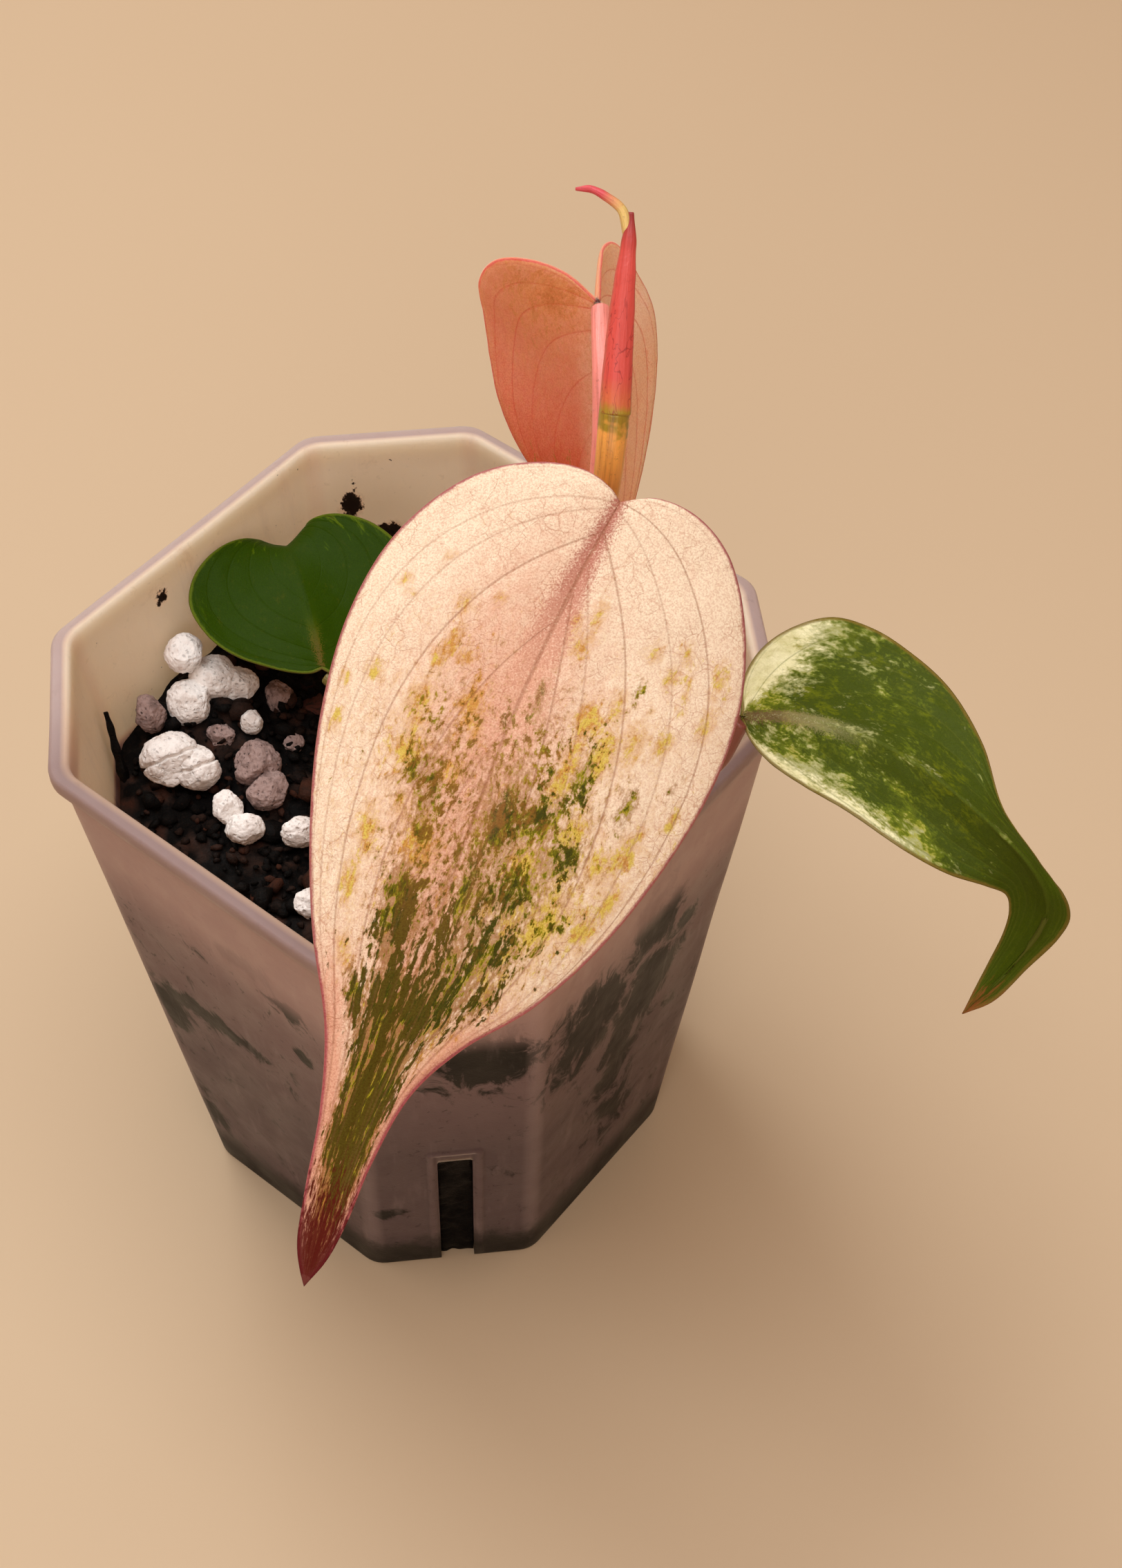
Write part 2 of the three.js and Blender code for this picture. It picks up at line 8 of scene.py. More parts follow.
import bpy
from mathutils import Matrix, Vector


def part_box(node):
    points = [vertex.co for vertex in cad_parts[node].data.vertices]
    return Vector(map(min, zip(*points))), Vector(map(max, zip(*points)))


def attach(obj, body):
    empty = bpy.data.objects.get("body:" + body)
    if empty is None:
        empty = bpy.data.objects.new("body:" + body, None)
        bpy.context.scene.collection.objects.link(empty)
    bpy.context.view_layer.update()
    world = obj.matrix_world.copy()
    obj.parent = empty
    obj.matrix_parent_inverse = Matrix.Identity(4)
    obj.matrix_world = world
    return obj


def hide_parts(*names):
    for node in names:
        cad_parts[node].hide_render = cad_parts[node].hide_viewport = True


bl_info = {
    "name": "Potted philodendron",
    "version": (1, 0, 0),
    "blender": (4, 5, 0),
    "location": "3D View > Sidebar > Philodendron",
    "description": "Builds a potted philodendron with variegated leaves, its pot, potting mix and stage",
    "category": "Add Mesh",
}

import math

import bmesh
import bpy
import numpy as np
from mathutils import Matrix

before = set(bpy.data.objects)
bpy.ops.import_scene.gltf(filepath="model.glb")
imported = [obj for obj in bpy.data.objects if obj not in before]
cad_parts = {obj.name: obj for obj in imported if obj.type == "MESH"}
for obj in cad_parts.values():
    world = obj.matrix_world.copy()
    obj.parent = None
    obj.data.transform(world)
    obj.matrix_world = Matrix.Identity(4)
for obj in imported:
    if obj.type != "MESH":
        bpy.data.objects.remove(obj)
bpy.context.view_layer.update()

MM = 0.001
SPLINE_STEPS = 50


# Shapes


def spline(points, shares):
    """Smooth curve through points, taken at even shares of its length.

    Between two points it is a cubic. Its end slopes come from the neighbours, and its parameter steps are
    the square roots of the distances.
    """
    p = np.asarray(points, float)
    p = np.vstack([2 * p[0] - p[1], p, 2 * p[-1] - p[-2]])
    step = np.sqrt(np.linalg.norm(np.diff(p, axis=0), axis=1))[:, None]
    before, here, after = step[:-2], step[1:-1], step[2:]
    a, b, c, d = p[:-3], p[1:-2], p[2:-1], p[3:]
    leave = here * ((b - a) / before - (c - a) / (before + here) + (c - b) / here)
    arrive = here * ((c - b) / here - (d - b) / (here + after) + (d - c) / after)
    u = np.linspace(0, 1, SPLINE_STEPS)[:, None, None]
    cubic = b + leave * u + (3 * (c - b) - 2 * leave - arrive) * u**2 + (2 * (b - c) + leave + arrive) * u**3
    dense = cubic.transpose(1, 0, 2).reshape(-1, 3)
    length = np.concatenate([[0], np.cumsum(np.linalg.norm(np.diff(dense, axis=0), axis=1))])
    places = np.asarray(shares) * length[-1]
    return np.stack([np.interp(places, length, dense[:, axis]) for axis in range(3)], -1)


def unit(vectors):
    """Vectors divided by their length."""
    return vectors / (np.linalg.norm(vectors, axis=-1, keepdims=True) + 1e-12)


def lumps(points, size, seed=0):
    """Smooth random height from -1 to 1, with lumps about size wide.

    Each corner of a cubic lattice draws a number, and the numbers are mixed by 3f^2 - 2f^3 along each axis.
    """
    place = np.asarray(points, float) / size + 31.7 * (seed + 1)
    cell = np.floor(place).astype(np.int64)
    share = place - cell
    share = share * share * (3 - 2 * share)
    total = np.zeros(place.shape[:-1])
    for corner in range(8):
        side = np.array([corner & 1, corner >> 1 & 1, corner >> 2 & 1])
        draw = ((cell + side) * np.array([73856093, 19349663, 83492791])).sum(-1) & 0xFFFFFFFF
        draw = ((draw ^ (draw >> 13)) * 1274126177) & 0xFFFFFFFF
        draw = ((draw ^ (draw >> 16)) * 668265263) & 0xFFFFFFFF
        total += (draw / 2.0**31 - 1) * np.prod(np.where(side, share, 1 - share), axis=-1)
    return total


def bell(value, middle, reach, power=2):
    """Bell curve: 1 at the middle and 1/e at the reach on either side of it."""
    return np.exp(-(np.abs((value - middle) / reach) ** power))


def between(value, low, high):
    """Share of the way from low to high, kept within 0 and 1."""
    return np.clip((value - low) / (high - low), 0, 1)


def skin(rings, ends=None, **values):
    """Closed body over rings of points. It closes with one point at each end: without ends, the middle of
    its first and last ring."""
    rows, around = rings.shape[:2]
    if ends is None:
        ends = [rings[0].mean(0), rings[-1].mean(0)]
    ring = np.arange(rows * around).reshape(rows, around)
    onward = np.roll(ring, -1, axis=1)
    quads = np.stack([ring[:-1], onward[:-1], onward[1:], ring[1:]], -1).reshape(-1, 4)
    first = np.stack([onward[0], ring[0], np.full(around, rows * around)], -1)
    last = np.stack([ring[-1], onward[-1], np.full(around, rows * around + 1)], -1)
    spread = {}
    for name, value in values.items():
        flat = value.reshape(rows * around, *value.shape[2:])
        spread[name] = np.concatenate([flat, [value[0].mean(0)], [value[-1].mean(0)]])
    points = np.vstack([rings.reshape(-1, 3), ends])
    return {"points": points, "quads": quads, "triangles": np.vstack([first, last]), "values": spread}


def triangle_body(points, triangles, **values):
    """Closed body of triangles alone."""
    return {"points": points, "quads": np.zeros((0, 4), int), "triangles": triangles, "values": values}


def merged(bodies):
    """Several bodies as one."""
    bodies = list(bodies)
    start = np.cumsum([0] + [len(b["points"]) for b in bodies[:-1]])
    stack = {key: np.vstack([b[key] + (0 if key == "points" else s) for b, s in zip(bodies, start)])
             for key in ("points", "quads", "triangles")}
    names = bodies[0]["values"]
    return {**stack, "values": {name: np.concatenate([b["values"][name] for b in bodies]) for name in names}}


def volume(body):
    """Volume by the signed tetrahedra between the origin and each triangle."""
    corners = body["points"]
    faces = np.vstack([body["triangles"], body["quads"][:, :3], body["quads"][:, [0, 2, 3]]])
    a, b, c = corners[faces[:, 0]], corners[faces[:, 1]], corners[faces[:, 2]]
    return np.einsum("ij,ij->", a, np.cross(b, c)) / 6


def make_mesh(name, body):
    """Mesh in metres from a body in millimetres, with its faces pointing outwards."""
    turn = slice(None, None, -1) if volume(body) < 0 else slice(None)
    quads, triangles = body["quads"][:, turn], body["triangles"][:, turn]
    corners = np.concatenate([quads.ravel(), triangles.ravel()])
    sizes = np.concatenate([np.full(len(quads), 4), np.full(len(triangles), 3)])
    mesh = bpy.data.meshes.new(name)
    mesh.vertices.add(len(body["points"]))
    mesh.vertices.foreach_set("co", (body["points"] * MM).ravel())
    mesh.loops.add(len(corners))
    mesh.loops.foreach_set("vertex_index", corners.astype(np.int32))
    mesh.polygons.add(len(sizes))
    mesh.polygons.foreach_set("loop_start", np.concatenate([[0], np.cumsum(sizes)[:-1]]).astype(np.int32))
    for key, value in body["values"].items():
        kind = "FLOAT" if value.ndim == 1 else "FLOAT_VECTOR"
        layer = mesh.attributes.new(key, kind, "POINT")
        layer.data.foreach_set("value" if value.ndim == 1 else "vector", value.astype(np.float32).ravel())
    mesh.update()
    mesh.validate()
    mesh.polygons.foreach_set("use_smooth", np.ones(len(mesh.polygons), bool))
    return mesh


def place(name, body, material, nodes, slot):
    """Adds a piece that stands for the named solids, with the given finish. The slot is not used."""
    piece = bpy.data.objects.new(name, make_mesh(name, body))
    bpy.context.scene.collection.objects.link(piece)
    piece.data.materials.append(material)
    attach(piece, "root")
    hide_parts(*nodes)
    return piece


# Materials


def paint(red, green, blue):
    """Linear colour from one on the usual 0 to 255 screen scale."""
    share = np.array([red, green, blue]) / 255
    linear = np.where(share <= 0.04045, share / 12.92, ((share + 0.055) / 1.055) ** 2.4)
    return tuple(float(value) for value in linear)


class Recipe:
    """Builds one material node by node. An input is a socket, a number, a colour or the name of a tone."""

    def __init__(self, name, look):
        self.look = look
        self.material = bpy.data.materials.new(name)
        self.material.use_nodes = True
        self.tree = self.material.node_tree
        self.shader = self.tree.nodes["Principled BSDF"]
        self.place = self.add("ShaderNodeTexCoord").outputs["Object"]

    def add(self, kind, inputs=None, **settings):
        node = self.tree.nodes.new(kind)
        for key, value in settings.items():
            setattr(node, key, value)
        for key, value in (inputs or {}).items():
            self.put(node.inputs[key], value)
        return node

    def put(self, socket, value):
        """Links a socket; numbers and colours stay on the node's own input."""
        value = self.look[value] if isinstance(value, str) else value
        if isinstance(value, bpy.types.NodeSocket):
            self.tree.links.new(value, socket)
        elif socket.type == "RGBA":
            socket.default_value = (*value[:3], 1)
        else:
            socket.default_value = value

    def math(self, operation, a, b=0.0, clamp=False):
        node = self.add("ShaderNodeMath", {0: a, 1: b}, operation=operation, use_clamp=clamp)
        return node.outputs[0]

    def total(self, first, *others):
        for other in others:
            first = self.math("ADD", first, other)
        return first

    def times(self, first, *others):
        for other in others:
            first = self.math("MULTIPLY", first, other)
        return first

    def around(self, value, amount):
        """The value less one half, times an amount."""
        return self.times(self.math("SUBTRACT", value, 0.5), amount)

    def rest(self, value):
        """1 less the value."""
        return self.math("SUBTRACT", 1.0, value)

    def mix(self, share, a, b, blend="MIX"):
        node = self.add("ShaderNodeMix", {0: share, 6: a, 7: b}, data_type="RGBA", blend_type=blend)
        return node.outputs[2]

    def lay(self, tone, *shares, blend="MIX"):
        """Lays a tone over the colour so far, as far as the product of the shares."""
        self.colour = self.mix(self.times(*shares), self.colour, tone, blend)

    def rise(self, value, low, high, start=0.0, end=1.0):
        """Smooth step of value from start at low to end at high."""
        inputs = {"Value": value, "From Min": low, "From Max": high, "To Min": start, "To Max": end}
        return self.add("ShaderNodeMapRange", inputs, interpolation_type="SMOOTHSTEP").outputs[0]

    def fall(self, value, low, high, start=1.0):
        """Smooth step of value from start at low to nothing at high."""
        return self.rise(value, low, high, start, 0.0)

    def ramp(self, value, *stops):
        """Colours from stops, each a place and the name of a tone."""
        node = self.add("ShaderNodeValToRGB", {0: value})
        marks = node.color_ramp.elements
        while len(marks) < len(stops):
            marks.new(0.5)
        for mark, (position, tone) in zip(marks, stops):
            mark.position = position
            mark.color = (*self.look[tone], 1)
        return node.outputs[0]

    def noise(self, size, detail=2.0, roughness=0.5, distortion=0.0, vector=None, flow=None):
        """Soft noise with lumps size millimetres wide, over a vector in metres or a flow in millimetres."""
        if flow is None:
            flow, size = self.place if vector is None else vector, size * MM
        inputs = {"Vector": flow, "Scale": 1 / size, "Detail": detail, "Roughness": roughness}
        return self.add("ShaderNodeTexNoise", {**inputs, "Distortion": distortion}).outputs["Fac"]

    def cells(self, size, vector, feature="DISTANCE_TO_EDGE"):
        """Distance to the nearest edge, or centre, of cells size millimetres wide."""
        inputs = {"Vector": vector, "Scale": 1 / (size * MM)}
        return self.add("ShaderNodeTexVoronoi", inputs, feature=feature).outputs["Distance"]

    def scaled(self, vector, factors):
        return self.add("ShaderNodeVectorMath", {0: vector, 1: factors}, operation="MULTIPLY").outputs[0]

    def moved(self, vector, amount, size, step=MM):
        """The vector pushed about by an amount times a coloured noise, for wavering edges."""
        noise = self.add("ShaderNodeTexNoise", {"Vector": vector, "Scale": 1 / (size * step)})
        push = self.scaled(noise.outputs["Color"], (amount * step,) * 3)
        return self.add("ShaderNodeVectorMath", {0: vector, 1: push}, operation="ADD").outputs[0]

    def value(self, name, output="Fac"):
        return self.add("ShaderNodeAttribute", attribute_name=name).outputs[output]

    def parts(self, vector):
        return self.add("ShaderNodeSeparateXYZ", {0: vector}).outputs

    def finish(self, gloss, height, depth, **sockets):
        """Fills in the shader, with bumps depth millimetres high where height is 1."""
        bump = self.add("ShaderNodeBump", {"Height": height, "Distance": depth * MM, "Strength": 1.0})
        sockets = {"Base Color": self.colour, "Roughness": gloss, "Normal": bump.outputs[0], **sockets}
        for name, value in sockets.items():
            self.put(self.shader.inputs[name.replace("_", " ")], value)
        return self.material


# Leaves

# A point of a blade has t, its share of the way from the stalk to the tip, and q, its share of the way from
# the midrib to the right (-1) or left (+1) edge. The midrib and both edges run from the stalk to the tip
# through their own points. A vein has the t where it leaves the midrib, its reach and its strength. Both
# halves have the same veins where only one list is given.

FRONT_LEAF = {
    "rows": 250,
    "columns": 64,
    "arch": 0.05,
    "stalk": (18, -23.7, 127.6),
    "tip": (-15.1, -73.4, 83.4),
    "left": [
        (17.2, -22.6, 128.4), (15.2, -21.1, 129.3), (11.3, -19.8, 129.4), (5.4, -19.7, 128.2),
        (-1.2, -22.3, 124.9), (-5.9, -27.1, 120.8), (-9.2, -33.9, 115.8), (-11, -41.5, 110.5),
        (-11.7, -49.7, 104.6), (-11.3, -56.8, 99.2), (-12.3, -62.1, 94.4), (-14.3, -67.4, 89.2),
        (-15.3, -70.6, 86), (-15.3, -72.4, 84.3),
    ],
    "midrib": [
        (13, -29.8, 123.1), (7.2, -37.9, 117), (2.7, -45.2, 111.1), (-2.6, -53.9, 103.4),
        (-9.8, -64.2, 93.1),
    ],
    "right": [
        (19, -23.7, 127.7), (21.4, -23.8, 127.8), (24.5, -25.1, 126.8), (27.1, -27.7, 124.4),
        (28.1, -32, 120.8), (27.4, -37.4, 116.3), (24.7, -42.7, 112.2), (20.1, -48.1, 108.2),
        (13.1, -54, 103.6), (6.6, -57.7, 100.5), (0.2, -59.9, 98.3), (-4.5, -62.4, 95.6),
        (-8.4, -66.4, 91.3), (-11, -69.9, 87.6), (-13.1, -72.1, 85.1),
    ],
    "veins": [
        (-0.06, 0.06, 0.4), (0, 0.15, 0.6), (0.02, 0.227, 0.6), (0.1, 0.321, 1), (0.27, 0.454, 1),
        (0.42, 0.6, 0.6), (0.56, 0.7, 0.5),
    ],
    "veins_right": [
        (-0.04, 0.06, 0.4), (-0.02, 0.17, 1), (0.02, 0.26, 0.6), (0.1, 0.37, 1), (0.16, 0.6, 0.6),
        (0.21, 0.97, 1), (0.45, 0.9, 0.6), (0.62, 0.8, 0.4),
    ],
}

BACK_LEAF = {
    "rows": 150,
    "columns": 40,
    "arch": -0.04,
    "stalk": (20, 5.5, 125.4),
    "tip": (19.6, -1.8, 93.8),
    "left": [
        (17, 8, 127.4), (13.5, 10.5, 127.4), (10.6, 13.2, 125.3), (9.2, 14.9, 121.6), (9.6, 15, 117.2),
        (10, 13.3, 113.2), (10.6, 10.6, 109.7), (12, 7.8, 106.5), (14, 5.5, 103.4), (15.9, 3.1, 100.1),
        (17.8, 0.8, 96.9),
    ],
    "midrib": [
        (19.9, 1.8, 115.1), (19.8, -0.6, 104.6),
    ],
    "right": [
        (20.5, 9.5, 126.8), (21.4, 13.6, 126), (23.1, 16.7, 123.6), (25, 17.6, 119.9), (26.8, 16.1, 116.3),
        (27.2, 13.8, 112.7), (26.8, 11.1, 109.3), (26, 8.1, 106.3), (24.9, 5.2, 103.3), (23.5, 2.6, 100.1),
        (21.7, 0.3, 96.9),
    ],
    "veins": [
        (-0.04, 0.08, 0.6), (0, 0.18, 0.8), (0.04, 0.3, 1), (0.16, 0.4, 0.8), (0.32, 0.5, 0.8),
        (0.5, 0.6, 0.6),
    ],
}

RIGHT_LEAF = {
    "rows": 190,
    "columns": 48,
    "arch": -0.12,
    "stalk": (32.4, -19.2, 91.7),
    "tip": (52.5, -44.1, 71.4),
    "left": [
        (32.7, -21.1, 90.8), (34.2, -24.2, 90.5), (37, -27.6, 90.6), (41.1, -31.5, 90.5), (46.1, -35.7, 89),
        (50, -37.9, 87.7), (53.9, -38.8, 86.3), (56.1, -39, 84.8), (56.7, -39.5, 82.6), (56.4, -40.2, 79.8),
        (54.8, -41.7, 75.5),
    ],
    "midrib": [
        (36.6, -20.6, 92.9), (41, -23.2, 93.9), (44.9, -26.3, 94.4), (48.6, -30.1, 94.3),
        (51.7, -33.7, 93.7), (54.6, -37.1, 92.6), (57.3, -39.8, 90.5), (59.2, -41.3, 87.2),
        (59.4, -41.9, 82.9), (57, -42.5, 77),
    ],
    "right": [
        (33, -15.3, 92.3), (35.6, -11.2, 92.6), (39.3, -8.8, 92.9), (43.5, -8.2, 93.3), (47.2, -10.5, 93.7),
        (50.5, -14.7, 94), (53.2, -20.2, 94.4), (55.1, -27, 93.6), (55.9, -33.6, 91.7), (58.4, -38.7, 89.8),
        (60.8, -41.4, 87.3), (61.7, -42.3, 84.7), (61, -42.7, 81.8), (58.4, -43.1, 77.3), (55.3, -44, 73.1),
    ],
    "veins": [
        (-0.04, 0.05, 0.5), (0, 0.12, 0.8), (0.03, 0.2, 1), (0.12, 0.3, 1), (0.26, 0.35, 0.8),
        (0.42, 0.4, 0.6), (0.6, 0.5, 0.4),
    ],
}

SMALL_LEAF = {
    "rows": 140,
    "columns": 40,
    "arch": -0.08,
    "stalk": (-10, 6.9, 75),
    "tip": (-13.6, 28.8, 67.4),
    "left": [
        (-8.7, 5.7, 74.9), (-6.4, 5.1, 74.6), (-3.2, 6.1, 74.5), (-0.2, 9, 74.6), (1.5, 13.6, 75.2),
        (1.5, 18.7, 76.1), (-0.3, 23.4, 77), (-3.5, 26.5, 77.8), (-7.5, 28.3, 77.6), (-10.2, 29, 76),
        (-11.8, 29.2, 71.7),
    ],
    "midrib": [
        (-10.8, 12.9, 75.9), (-11.7, 19.4, 76), (-12.7, 25, 75.5), (-13.3, 27.4, 73.4), (-13.5, 28.6, 70.1),
    ],
    "right": [
        (-11.2, 6.5, 74.6), (-13.3, 7.1, 74.2), (-16.3, 8.4, 74.1), (-19.8, 10.4, 74.2), (-22.6, 13.2, 74.6),
        (-24.5, 17.3, 75.5), (-23.9, 20.8, 76.4), (-21.8, 23.7, 77), (-19, 26.2, 76.5), (-16.2, 28, 74.3),
        (-14.5, 28.8, 70.9),
    ],
    "veins": [
        (-0.04, 0.05, 0.5), (0, 0.14, 0.8), (0.04, 0.24, 1), (0.14, 0.34, 1), (0.3, 0.4, 0.8),
        (0.46, 0.5, 0.5),
    ],
}

# Marks on the front blade: t, q, length along the veins and width in millimetres.
FRONT_YELLOW = [
    (0.29, 0.8, 1.8, 1.3), (0.3, 0.72, 0.9, 0.9), (0.27, 0.32, 1.3, 1), (0.34, 0.43, 3.3, 1.3),
    (0.36, 0.48, 1.3, 0.9), (0.39, 0.77, 1.8, 1.5), (0.4, 0.9, 1.6, 0.9), (0.44, 0.9, 1.8, 1.2),
    (0.41, 0.5, 3.6, 2.2), (0.55, 0.63, 3.6, 1.5), (0.24, -0.18, 4.5, 1.3), (0.26, -0.1, 2.4, 0.9),
    (0.29, -0.15, 2.1, 1.5), (0.36, -0.33, 2.7, 2.1), (0.33, -0.43, 2.7, 1.2), (0.29, -0.72, 2.7, 0.6),
    (0.26, -0.87, 3.9, 1.8), (0.31, -0.86, 3.3, 1.5), (0.36, -0.58, 4.2, 1.8), (0.39, -0.47, 4.8, 1.8),
    (0.41, -0.9, 2.4, 0.7), (0.49, -0.72, 2.3, 1.6), (0.46, -0.8, 4.2, 1.6), (0.51, -0.87, 2.9, 1.3),
    (0.55, -0.86, 2.3, 1.4), (0.57, -0.65, 4.2, 2), (0.67, 0.73, 3.6, 1.3), (0.6, 0.72, 4, 1.4),
]
FRONT_OCHRE = [
    (0.25, 0.67, 1.5, 1), (0.29, 0.47, 2.1, 1.8), (0.35, 0.35, 1.5, 1.2), (0.4, 0.22, 2.7, 2.1),
    (0.46, 0.48, 3.6, 2.4), (0.43, 0.15, 1.8, 1.2), (0.48, 0.2, 1.8, 1.5), (0.52, 0.45, 1.8, 1.2),
    (0.26, -0.52, 2.1, 1.5), (0.25, -0.68, 2.7, 1.8), (0.28, -0.63, 2.1, 1.5), (0.35, -0.7, 2.7, 1.8),
    (0.43, -0.35, 5.4, 1.5), (0.47, -0.52, 2.7, 1.8), (0.56, 0.27, 3.6, 2.6), (0.53, -0.38, 2.9, 2.3),
    (0.92, 0.12, 3.3, 1.6),
]
FRONT_GREEN = [
    (0.48, 0.42, 2.7, 1.8), (0.55, 0.28, 2.1, 1.5), (0.36, -0.08, 3.6, 1), (0.31, -0.5, 3, 1.6),
    (0.42, -0.43, 5.1, 1.8), (0.38, -0.83, 3.6, 1), (0.51, -0.15, 3.9, 2.7), (0.48, -0.35, 2.7, 1.8),
    (0.6, 0.35, 2.9, 2), (0.59, -0.13, 3.6, 1), (0.56, -0.42, 2.9, 2), (0.63, -0.48, 2.9, 2),
    (0.67, -0.7, 3.6, 1.3), (0.7, 0.65, 3.9, 2), (0.73, -0.07, 3.6, 2), (0.8, -0.35, 5.6, 2),
    (0.84, -0.13, 4.6, 2), (0.87, -0.53, 4.6, 1.6),
]
FRONT_DARK = [
    (0.5, 0.3, 3.6, 1.3), (0.42, -0.68, 3.9, 2.1), (0.64, 0.33, 4.9, 2.9), (0.5, -0.55, 3.3, 2.6),
    (0.7, -0.4, 5.2, 2.3), (0.73, 0.62, 3.9, 1.6), (0.72, 0.27, 6.5, 2), (0.78, 0.27, 6.5, 2.3),
    (0.8, 0.28, 4.9, 2.6), (0.85, 0.53, 5.2, 1.6),
]
FRONT_MARKS = (FRONT_GREEN, FRONT_DARK, FRONT_YELLOW, FRONT_OCHRE)

LOBE_POWER = 1.4
WAVER = 0.25
VEIN_REACH = 0.5
RIB_REACH = 0.9


def blade_sheet(leaf):
    """Middle surface of a blade, with each point's t and q and the width of its half.

    A point is the midrib times 1 - |q| plus the edge times |q|, raised by 4|q|(1 - |q|) times the arch and
    the half's width. The midrib is taken at t to a power above 1, so the rows reach back into the two lobes.
    """
    t = (np.arange(leaf["rows"]) + 0.5) / leaf["rows"]
    q = np.linspace(-1, 1, 2 * leaf["columns"] + 1)
    path = lambda side, shares: spline([leaf["stalk"], *leaf[side], leaf["tip"]], shares)
    rib, left, right = path("midrib", t**LOBE_POWER), path("left", t), path("right", t)
    edge = np.where(q[None, :, None] < 0, right[:, None], left[:, None])
    share = np.abs(q)[None, :, None]
    width = np.linalg.norm(edge - rib[:, None], axis=2, keepdims=True)
    up = unit(np.cross(left - right, np.gradient(rib, axis=0)))[:, None]
    sheet = rib[:, None] * (1 - share) + edge * share + up * 4 * share * (1 - share) * leaf["arch"] * width
    grid_t, grid_q = np.broadcast_arrays(t[:, None], q[None, :])
    return sheet, grid_t, grid_q, width[..., 0]


def vein_field(veins, t, share, across, along):
    """Where each point lies between the veins of one half.

    Vein k leaves the midrib at t0 and runs where |q| = 1 - exp(-(t - t0) / reach). The first value is k on
    vein k and grows evenly to k + 1 on the next. The second is the distance between the two in millimetres,
    square to the veins, and the third is their strength.
    """
    start, reach, strength = (np.array(column) for column in zip(*veins))
    left = np.exp(-np.clip(t[..., None] - start, 0, None) / reach)
    none = np.zeros_like(t)[..., None]
    lines = np.concatenate([none + 1, 1 - left, none], -1)
    slope = np.concatenate([none, left / reach, none], -1)
    strength = np.concatenate([[0.3], strength, [0]])
    k = np.clip((lines > share[..., None]).sum(-1) - 1, 0, len(veins))
    take = lambda table, index: np.take_along_axis(table, index[..., None], -1)[..., 0]
    outer, inner = take(lines, k), take(lines, k + 1)
    part = np.clip((outer - share) / np.maximum(outer - inner, 1e-6), 0, 1)
    way = along + across * (take(slope, k) * (1 - part) + take(slope, k + 1) * part)[..., None]
    square = np.linalg.norm(np.cross(unit(way), across), axis=-1)
    strength = strength[k] * (1 - part) + strength[k + 1] * part
    return np.stack([k + part, (outer - inner) * square, strength], -1)


def veins_of(leaf, sheet, t, q):
    """Vein values over both halves of a blade."""
    along = np.gradient(sheet, axis=0) * leaf["rows"]
    across = np.gradient(sheet, axis=1) * leaf["columns"]
    lists = leaf.get("veins_right", leaf["veins"]), leaf["veins"]
    right, left = (vein_field(veins, t, np.abs(q), across, along) for veins in lists)
    return np.where((q < 0)[..., None], right, left)


def marks(sheet, leaf, patches):
    """Field that is about 1 in the middle of each patch and falls to nothing outside it.

    Each patch is exp(-(a^2 + b^2)) with a and b the distances along and across the veins over a little more
    than half its length and width. The patches are added, up to 1.2.
    """
    along = unit(np.gradient(sheet, axis=0))
    field = np.zeros(sheet.shape[:2])
    for t, q, length, width in patches:
        row = min(int(t * leaf["rows"]), leaf["rows"] - 1)
        column = int(round((q + 1) * leaf["columns"]))
        offset = sheet - sheet[row, column]
        a = (offset * along[row, column]).sum(-1)
        b = (offset**2).sum(-1) - a**2
        field += np.exp(-((a / (0.55 * length)) ** 2 + b / (0.55 * width) ** 2))
    return np.clip(field, 0, 1.2)


def wrapped(over, under=None):
    """Values over a blade carried round its upper face, edge, lower face and other edge."""
    under = over if under is None else under
    edge = (over + under) / 2
    return np.concatenate([over, edge[:, -1:], under[:, ::-1], edge[:, :1]], axis=1)


def facing_of(sheet):
    """Direction square to a sheet at each of its points."""
    return unit(np.cross(np.gradient(sheet, axis=1), np.gradient(sheet, axis=0)))


